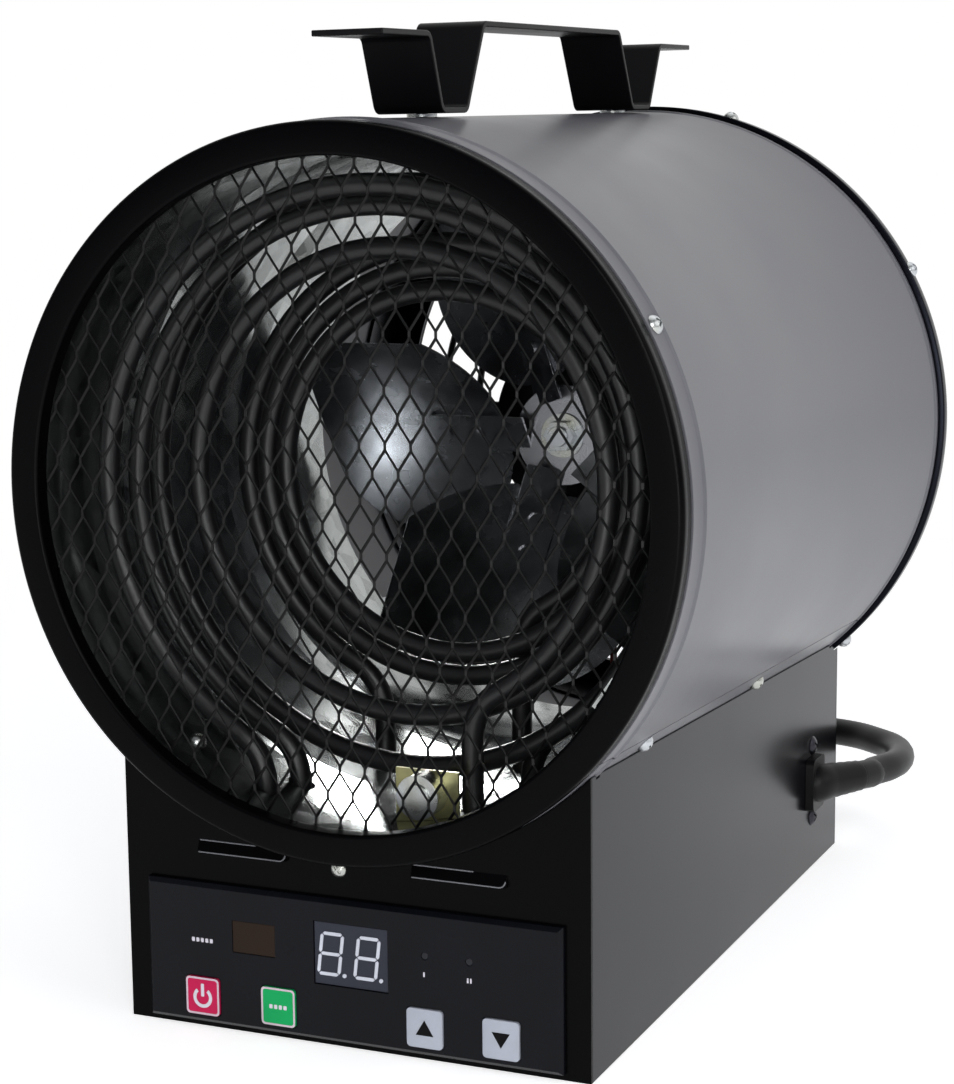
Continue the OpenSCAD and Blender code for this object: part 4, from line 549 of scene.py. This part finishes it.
def makeGrille():
    w, h, half = grille["cellWidth"] / 2, grille["cellHeight"] / 2, grille["bond"] / 2
    columns = int(grille["radius"] / w) + 2
    rows = int(grille["radius"] / h) + 2
    through = Vector((0, 1, 0))
    points, faces = [], []

    def strand(a, b, lean):
        if min(math.hypot(*a), math.hypot(*b)) > grille["radius"]:
            return
        ends = cutAtRim(a, b), cutAtRim(b, a)
        run = Vector((ends[1][0] - ends[0][0], 0, ends[1][1] - ends[0][1]))
        if run.length < grille["shortest"]:
            return
        side = through.cross(run.normalized())
        turn = math.radians(lean)
        wide = (side * math.cos(turn) + through * math.sin(turn)) * grille["strandWidth"] / 2
        thick = (through * math.cos(turn) - side * math.sin(turn)) * grille["sheet"] / 2
        first = len(points)
        for x, z in ends:
            centre = Vector((x, grille["y"], drum["axisHeight"] + z))
            for s, u in ((1, 1), (-1, 1), (-1, -1), (1, -1)):
                points.append(at(*(centre + s * wide + u * thick)))
        faces.extend([(first + k, first + (k + 1) % 4, first + 4 + (k + 1) % 4, first + 4 + k)
                      for k in range(4)])
        faces.extend([(first + 3, first + 2, first + 1, first),
                      (first + 4, first + 5, first + 6, first + 7)])

    for i in range(-columns, columns):
        for j in range(-rows, rows):
            if (i + j) % 2:
                continue
            x, z = i * w, j * h
            strand((x, z + half), (x + w, z + h - half), grille["lean"])
            strand((x, z - half), (x + w, z - h + half), grille["lean"])
            strand((x, z - half), (x, z + half), grille["bondLean"])
    addMesh("expandedGrille", points, faces, "blackDippedMesh",
            replaces=["front_grille"], smooth=30)


makeGrille()
print("grille made")

# heating elements, swollen tubes wound in loops; angles run from +X towards +Z, and over a
# loop's length its radius narrows once and it climbs back through the drum in steps; each
# change has its start and end as shares of the length, and each climb is in pitches
loops = {"tubeRadius": 3.75, "firstY": 31.0, "pitch": 16.0, "legTurn": 14.0, "legEnd": 48.0,
         "bendShare": 0.012}
windings = {
    "outer": {"span": (246, -426), "radii": (100, 100), "narrows": (0, 1, even), "first": 0,
              "climbs": [(1.9, 0.12, 0.56, ease), (0.66, 0.5, 1, even)], "steps": 160},
    "middle": {"span": (249, -427), "radii": (100, 79), "narrows": (0, 0.62, ease), "first": 1,
               "climbs": [(0.625, 0, 0.6, ease), (-0.8, 0.6, 1, ease)], "steps": 160},
    "inner": {"span": (251, -788), "radii": (83, 59), "narrows": (0, 1, even), "first": 4.1,
              "climbs": [(-0.1, 0, 1, even), (0.85, 0.86, 1, ease)], "steps": 240},
}


def progress(t, start, end, how):
    return how(min(1, max(0, (t - start) / (end - start))))


def elementPoint(winding, t):
    (wide, narrow), (first, last) = winding["radii"], winding["span"]
    r = wide + (narrow - wide) * progress(t, *winding["narrows"])
    climb = sum(amount * progress(t, *change) for amount, *change in winding["climbs"])
    a = math.radians(first + (last - first) * t)
    return Vector((r * math.cos(a), loops["firstY"] + loops["pitch"] * (winding["first"] + climb),
                   drum["axisHeight"] + r * math.sin(a)))


def makeElements():
    share = loops["bendShare"]
    for name, winding in windings.items():
        steps = winding["steps"]
        legs = []
        for end, turn in ((0, share), (1, 1 - share)):
            p, q = elementPoint(winding, end), elementPoint(winding, turn)
            knee = p - Vector((0, 0, loops["legTurn"]))
            bend = [(1 - t) ** 2 * knee + 2 * t * (1 - t) * p + t * t * q
                    for t in (0.12, 0.24, 0.36, 0.48, 0.6, 0.72, 0.84)]
            legs.append([Vector((p.x, p.y, loops["legEnd"])), knee] + bend)
        wound = [elementPoint(winding, share + (1 - 2 * share) * i / steps)
                 for i in range(steps + 1)]
        path = [at(*p) for p in legs[0] + wound + legs[1][::-1]]
        addTube(name + "HeatingTube", path, loops["tubeRadius"], "oxidisedSheath",
                replaces=["element_" + name], sides=5)


makeElements()
print("elements made")

# strap: hot-rolled flat bar bent at eight places, drilled at both ends
strap = {"width": 25.4, "thick": 2.0, "bend": 2.5, "hole": 3.3, "drillDepth": 20, "soft": 0.35,
         "line": [(22, 27), (58, 27), (67, 2.1), (87, 2.1), (103, 31.3), (238, 31.3),
                  (253, 2.1), (273, 2.1), (287, 27), (325, 27)], "holes": (40, 306), "holeUp": 27}


def onStrap(x, y, z):   # the frame that lies along the drum's top
    tilted = Matrix.Rotation(flare, 3, "X") @ Vector((x, y, z))
    return at(tilted.x, tilted.y, tilted.z + drum["axisHeight"] + drum["frontRadius"])


def bentLine(points, thick, inside, steps=8):   # both sides of a bar bent along the points
    points = [Vector(p) for p in points]
    sides = {1: [], -1: []}
    for side in sides:
        u = (points[1] - points[0]).normalized()
        sides[side].append(points[0] + side * thick / 2 * Vector((-u.y, u.x)))
        for a, b, c in zip(points, points[1:], points[2:]):
            u, v = (b - a).normalized(), (c - b).normalized()
            turn = u.x * v.y - u.y * v.x
            sign = 1 if turn > 0 else -1
            angle = abs(math.asin(turn))
            radius = inside + (0 if sign == side else thick)
            back = (inside + thick / 2) * math.tan(angle / 2)
            normal = Vector((-u.y, u.x)) * sign
            centre = b - back * u + (inside + thick / 2) * normal
            for k in range(steps + 1):
                w = angle * k / steps * sign
                sides[side].append(centre + radius * Vector((
                    -normal.x * math.cos(w) + normal.y * math.sin(w),
                    -normal.x * math.sin(w) - normal.y * math.cos(w))))
        u = (points[-1] - points[-2]).normalized()
        sides[side].append(points[-1] + side * thick / 2 * Vector((-u.y, u.x)))
    return sides[1], sides[-1]


def drillStrap(piece):
    cutters = []
    for y in strap["holes"]:
        bpy.ops.mesh.primitive_cylinder_add(
            vertices=48, radius=strap["hole"] / 1000, depth=strap["drillDepth"] / 1000,
            location=onStrap(0, y, strap["holeUp"]), rotation=(flare, 0, 0))
        cutters.append(bpy.context.object)
        drill = piece.modifiers.new("drill", "BOOLEAN")
        drill.object, drill.solver = cutters[-1], "EXACT"
    drilled = evaluatedMesh(piece)
    piece.modifiers.clear()
    piece.data = drilled
    for cutter in cutters:
        bpy.data.objects.remove(cutter)


def makeStrap():
    top, bottom = bentLine(strap["line"], strap["thick"], strap["bend"])
    n = len(top)
    points, faces = [], []
    for x in (-strap["width"] / 2, strap["width"] / 2):
        points += [onStrap(x, p.x, p.y) for p in top + bottom]
    for k in range(n - 1):
        faces.append((k, k + 1, n + k + 1, n + k))
        faces.append((2 * n + k, 3 * n + k, 3 * n + k + 1, 2 * n + k + 1))
        faces.append((k, 2 * n + k, 2 * n + k + 1, k + 1))
        faces.append((n + k, n + k + 1, 3 * n + k + 1, 3 * n + k))
    for k in (0, n - 1):
        faces.append((k, n + k, 3 * n + k, 2 * n + k))
    piece = addMesh("carryStrap", points, faces, "blackPowderCoat",
                    replaces=["strap_bracket", "strap_flanges"], smooth=25)
    drillStrap(piece)
    softenEdges(piece, strap["soft"], 2, 40)


makeStrap()
print("strap made")

# strain relief: a moulded boot with a ball root, on a flange with rounded corners
boot = {"rootRadius": 8.0, "tipRadius": 6.4, "flangeSize": (17, 22), "flangeThick": 3.6,
        "corner": 3.0, "wallGap": 0.05, "ribDepth": 0.22, "taper": 0.8, "tipRound": 0.55}


def turnedSolid(start, along, profile, steps=48):   # profile of (distance, radius)
    side = along.cross(Vector((0, 0, 1))).normalized()
    up = side.cross(along)
    points, faces = [], []
    for d, r in profile:
        for i in range(steps):
            a = 2 * math.pi * i / steps
            points.append(at(*(start + along * d + (side * math.cos(a) + up * math.sin(a)) * r)))
    for k in range(len(profile) - 1):
        a, b = k * steps, (k + 1) * steps
        faces += [(a + i, a + (i + 1) % steps, b + (i + 1) % steps, b + i) for i in range(steps)]
    faces += [tuple(range(steps)), tuple(range(len(points) - steps, len(points)))]
    return points, faces


def reliefFlange(x0, x1):   # faces +X
    outline = roundedBox(relief["y"], relief["z"], *boot["flangeSize"], boot["corner"])
    n = len(outline)
    points = [at(x, y, z) for x in (x0, x1) for y, z in outline]
    faces = [(i, (i + 1) % n, n + (i + 1) % n, n + i) for i in range(n)]
    return points, faces + [tuple(range(n)), tuple(range(n, 2 * n))]


def makeRelief():
    root, away = reliefLine()
    wall = relief["wallX"] + boot["wallGap"]
    r, tip, length = boot["rootRadius"], boot["tipRadius"], relief["length"]
    ball = [math.radians(v) for v in range(6, 90, 12)]
    profile = [(-r * math.cos(t), r * math.sin(t)) for t in ball]
    profile += [(0, r), (length * 0.1, r * 0.985)]
    profile += [(length * k / 10, r + (tip - r) * (k / 10) ** boot["taper"]
                 - boot["ribDepth"] * (k % 2)) for k in range(2, 10)]
    profile += [(length - 0.6, tip), (length - 0.2, tip - 0.2), (length, tip - boot["tipRound"])]
    points, faces = turnedSolid(root, away, profile)
    points = [Vector((max(p.x, wall / 1000), p.y, p.z)) for p in points]   # none passes the wall
    flangePoints, flangeFaces = reliefFlange(wall, relief["wallX"] + boot["flangeThick"])
    faces += [tuple(len(points) + i for i in face) for face in flangeFaces]
    addMesh("reliefBoot", points + flangePoints, faces, "mouldedNylon",
            replaces=["strain_relief"], smooth=35, bevel=0.5)


makeRelief()
print("strain relief made")

# louvres: a painted highlight along the lip and crease of each hood pressed out of the front sheet,
# as thin pale tubes
louvre = {"x": 40.0, "z": 63.5, "length": 33.0, "low": -1.25, "high": 2.6, "out": 1.4,
          "highlightRadius": 0.24, "face": 12.0, "corner": 2.0, "lipGap": 0.08, "creaseGap": 0.1,
          "cornerDrop": 0.45, "crease": (-1, -0.5, 0, 0.3)}


def makeLouvres():
    half, low, r = louvre["length"] / 2, louvre["low"], louvre["corner"]
    lipY = louvre["face"] - louvre["out"] - louvre["lipGap"]
    sink = louvre["cornerDrop"] * louvre["out"]
    for side, name in ((-1, "Left"), (1, "Right")):
        x, z = side * louvre["x"], louvre["z"]
        lip = [(-half, low)] + arc((half - r, low + r), r, 270, 360, 6)
        path = [at(x + u, lipY + sink * max(0, v - low) / r, z + v) for u, v in lip]
        # pale tube on the lip, a painted highlight
        addTube("louvreLipHighlight" + name, path, louvre["highlightRadius"], "paintedHighlightEnamel")
        path = [at(x + u * half, louvre["face"] - louvre["creaseGap"], z + louvre["high"])
                for u in louvre["crease"]]
        # pale tube on the crease, a painted highlight
        addTube("louvreCreaseHighlight" + name, path, louvre["highlightRadius"], "paintedHighlightEnamel")


makeLouvres()
print("louvres made")

# prints and light bars on the control panel, given as outlines of (x, z)
panel = {"buttonX": (-55.2, -26.0, 28.39, 55.61), "buttonZ": 11.9, "buttonFace": 8.3,
         "buttonSize": (12.9, 13.3), "buttonRound": 1.4, "rim": 0.75, "ink": 0.05, "face": 9.0}
digits = {"x": 1.4, "z": 32.8, "face": 9.38, "width": 7.6, "height": 14.0, "bar": 1.2,
          "gap": 0.22, "lean": 0.12, "apart": 6.75, "shift": -0.8, "dot": 0.75, "dotOut": 2.1,
          "thick": 0.2}
# marks on the buttons, from each one's middle, and rows of bars on the panel, each with its
# x, z, number of bars, width, height and step
prints = {"ringRadii": (3.7, 2.45), "ringSpan": (128, 412), "ringDrop": 0.5,
          "powerBar": (1.25, 4.6), "powerBarUp": 2.1, "modeBars": (4, 1.25, 1.5, 1.8),
          "arrow": [(-3.2, -2.4), (3.2, -2.4), (0, 2.9)],
          "rows": [(-55.1, 31.6, 5, 1.2, 1.5, 1.75), (28.2, 30.2, 1, 0.6, 1.7, 1),
                   (44.4, 30.2, 2, 0.6, 1.7, 1.1)]}


def printed(name, outlines, face, finish, body="heater", thick=0.05, replaces=()):
    curve = bpy.data.curves.new(name, "CURVE")
    curve.dimensions, curve.fill_mode = "2D", "BOTH"
    curve.extrude = thick / 2000
    for outline in outlines:
        spline = curve.splines.new("POLY")
        spline.points.add(len(outline) - 1)
        for point, (x, z) in zip(spline.points, outline):
            point.co = (x / 1000, z / 1000, 0, 1)
        spline.use_cyclic_u = True
    maker = bpy.data.objects.new(name, curve)
    bpy.context.scene.collection.objects.link(maker)
    mesh = evaluatedMesh(maker)
    bpy.data.objects.remove(maker)
    mesh.name = name
    stand = Matrix.Rotation(math.pi / 2, 4, "X")
    mesh.transform(Matrix.Translation(at(0, face - thick / 2, 0)) @ stand)
    mesh.materials.clear()
    return addPiece(name, mesh, finish, body, replaces)


def barRow(x, z, count, width, height, step):
    return [roundedBox(x + (i - (count - 1) / 2) * step, z, width, height, width * 0.25, 3)
            for i in range(count)]


def lightBar(x0, z0, x1, z1, wide):   # a bar with pointed ends, along X or Z
    h = wide / 2
    if x0 != x1:
        return [(x0, z0), (x0 + h, z0 + h), (x1 - h, z0 + h), (x1, z0), (x1 - h, z0 - h),
                (x0 + h, z0 - h)]
    return [(x0, z0), (x0 + h, z0 + h), (x0 + h, z1 - h), (x0, z1), (x0 - h, z1 - h),
            (x0 - h, z0 + h)]


def makeDisplay():
    w, h, gap, wide = digits["width"] / 2, digits["height"] / 2, digits["gap"], digits["bar"]
    outlines = []
    for side in (-1, 1):
        bars = [lightBar(-w + gap, z, w - gap, z, wide) for z in (-h, 0, h)]
        bars += [lightBar(x, z + gap, x, z + h - gap, wide) for x in (-w, w) for z in (-h, 0)]
        bars.append(arc((w + digits["dotOut"], -h), digits["dot"], 0, 345, 23))
        middle = digits["x"] + side * digits["apart"] + digits["shift"]
        outlines += [[(middle + x + z * digits["lean"], digits["z"] + z) for x, z in bar]
                     for bar in bars]
    printed("displayDigits", outlines, digits["face"], "paintedDigitGlow",
            thick=digits["thick"], replaces=["display_segments"])


def makeButtons():
    z, (width, height), r = panel["buttonZ"], panel["buttonSize"], panel["buttonRound"]
    face, rim, ink = panel["buttonFace"], panel["rim"], panel["ink"]
    power, mode, up, down = panel["buttonX"]
    (outer, inner), (first, last) = prints["ringRadii"], prints["ringSpan"]
    middle = (power, z - prints["ringDrop"])
    symbol = arc(middle, outer, first, last, 30) + arc(middle, inner, last, first, 30)
    bar = roundedBox(power, z + prints["powerBarUp"], *prints["powerBar"], 0.3)
    looks = {
        "powerKey": (power, "power_key", [symbol, bar]),
        "modeKey": (mode, "mode_key", barRow(mode, z, *prints["modeBars"])),
        "upKey": (up, "up_key", [[(up + x, z + y) for x, y in prints["arrow"]]]),
        "downKey": (down, "down_key", [[(down + x, z - y) for x, y in prints["arrow"]]]),
    }
    for name, (x, body, marks) in looks.items():
        if x in (power, mode):   # the coloured buttons have a pale rim and pale marks
            edge = [roundedBox(x, z, width - 0.1, height - 0.1, r),
                    roundedBox(x, z, width - 2 * rim, height - 2 * rim, r - rim * 0.6)]
            printed(name + "Rim", edge, face, "paleAbs", body, ink)
            printed(name + "Mark", marks, face, "paleInk", body, ink)
        else:
            printed(name + "Mark", marks, face, "inkBlack", body, ink)


def makePrints():
    marks = [bar for row in prints["rows"] for bar in barRow(*row)]
    printed("panelMarks", marks, panel["face"], "paleInk", thick=panel["ink"])


makeDisplay()
makeButtons()
makePrints()
print("panel made")

# floor, lights and background; the floor fades to the white paper at the given metres
studio = {"floor": "#f4f4f5", "background": "#ffffff", "room": "#e9ecf2", "roomGlow": 0.26,
          "floorLift": 0.64, "floorHalf": 6, "fadeFrom": 0.35, "fadeTo": 1.0,
          "backFrom": -0.1, "backTo": 0.6}


# The camera and what is seen through glass get white paper, reflections get it only behind
# the heater, and everything else is lit by the dimmer room
def makeRoom():
    world = bpy.data.worlds.new("studio")
    bpy.context.scene.world = world
    world.use_nodes = True
    tree = world.node_tree
    tree.nodes.clear()
    rays = addNode(tree, "ShaderNodeLightPath")
    direction = addNode(tree, "ShaderNodeTexCoord").outputs["Generated"]
    parts = addNode(tree, "ShaderNodeSeparateXYZ", links={"Vector": direction})
    behind = addNode(tree, "ShaderNodeMapRange",
                     values={"From Min": studio["backFrom"], "From Max": studio["backTo"]},
                     links={"Value": parts.outputs["Y"]})
    glossy = addNode(tree, "ShaderNodeMath", settings={"operation": "MULTIPLY"},
                     links={0: rays.outputs["Is Glossy Ray"], 1: behind.outputs["Result"]})
    seen = glossy.outputs[0]
    for ray in ("Is Camera Ray", "Is Transmission Ray"):
        seen = addNode(tree, "ShaderNodeMath", settings={"operation": "ADD", "use_clamp": True},
                       links={0: rays.outputs[ray], 1: seen}).outputs[0]
    room = addNode(tree, "ShaderNodeBackground",
                   values={"Color": toLinear(studio["room"]), "Strength": studio["roomGlow"]})
    paper = addNode(tree, "ShaderNodeBackground",
                    values={"Color": toLinear(studio["background"]), "Strength": 1})
    both = addNode(tree, "ShaderNodeMixShader",
                   links={0: seen, 1: room.outputs[0], 2: paper.outputs[0]})
    addNode(tree, "ShaderNodeOutputWorld", links={"Surface": both.outputs[0]})


# Matt white paper, which stays white around the object and keeps its shadow
def paperFloor():
    material, tree = blankMaterial("paperFloor")
    place = addNode(tree, "ShaderNodeTexCoord").outputs["Object"]
    distance = addNode(tree, "ShaderNodeVectorMath", settings={"operation": "LENGTH"},
                       links={0: place})
    fade = addNode(tree, "ShaderNodeMapRange",
                   values={"From Min": studio["fadeFrom"], "From Max": studio["fadeTo"]},
                   links={"Value": distance.outputs["Value"]})
    rays = addNode(tree, "ShaderNodeLightPath")
    amount = addNode(tree, "ShaderNodeMath", settings={"operation": "MULTIPLY"},
                     links={0: fade.outputs["Result"], 1: rays.outputs["Is Camera Ray"]})
    paper = addNode(tree, "ShaderNodeBsdfPrincipled",
                    values={"Base Color": toLinear(studio["floor"]), "Roughness": 0.9,
                            "Specular IOR Level": 0.1})
    lift = addNode(tree, "ShaderNodeEmission",
                   values={"Color": (1, 1, 1, 1), "Strength": studio["floorLift"]})
    lifted = addNode(tree, "ShaderNodeAddShader", links={0: paper.outputs[0], 1: lift.outputs[0]})
    glow = addNode(tree, "ShaderNodeEmission", values={"Color": (1, 1, 1, 1), "Strength": 1})
    both = addNode(tree, "ShaderNodeMixShader",
                   links={0: amount.outputs[0], 1: lifted.outputs[0], 2: glow.outputs[0]})
    closeMaterial(tree, both)
    return material


def makeFloor():
    mesh = bpy.data.meshes.new("floor")
    reach = studio["floorHalf"]
    corners = [(-reach, -reach, 0), (reach, -reach, 0), (reach, reach, 0), (-reach, reach, 0)]
    mesh.from_pydata(corners, [], [(0, 1, 2, 3)])
    floor = bpy.data.objects.new("floor", mesh)
    bpy.context.scene.collection.objects.link(floor)
    mesh.materials.append(paperFloor())


# each lamp: place, aim, width and height in metres, power in watts, spread in degrees; the
# last one is the light that comes in through the rear guard
lamps = {
    "keyRight": ((1.6, -0.3, 1.0), (0.05, 0, 0.2), 1.4, 1.2, 7, 180),
    "topSoft": ((0.1, 0.2, 1.9), (0, 0, 0.2), 1.6, 1.6, 5.5, 180),
    "frontRight": ((0.75, -1.5, 0.75), (0, 0.05, 0.18), 0.7, 0.7, 9.5, 180),
    "frontLow": ((0.25, -1.6, 0.12), (0, 0.05, 0.18), 0.5, 0.3, 4, 180),
    "throughGuard": ((-0.05, 0.02, 0.12), (0.01, -0.13, 0.075), 0.05, 0.035, 0.012, 35),
}


def makeLamps():
    for name, (place, aim, width, height, power, spread) in lamps.items():
        light = bpy.data.lights.new(name, "AREA")
        light.shape = "RECTANGLE"
        light.size, light.size_y, light.energy = width, height, power
        light.spread = math.radians(spread)
        lamp = bpy.data.objects.new(name, light)
        lamp.visible_camera = False
        bpy.context.scene.collection.objects.link(lamp)
        lamp.location = place
        lamp.rotation_euler = (Vector(aim) - Vector(place)).to_track_quat("-Z", "Y").to_euler()


bpy.context.scene.view_settings.view_transform = "Standard"
makeRoom()
makeFloor()
makeLamps()
print("studio made")
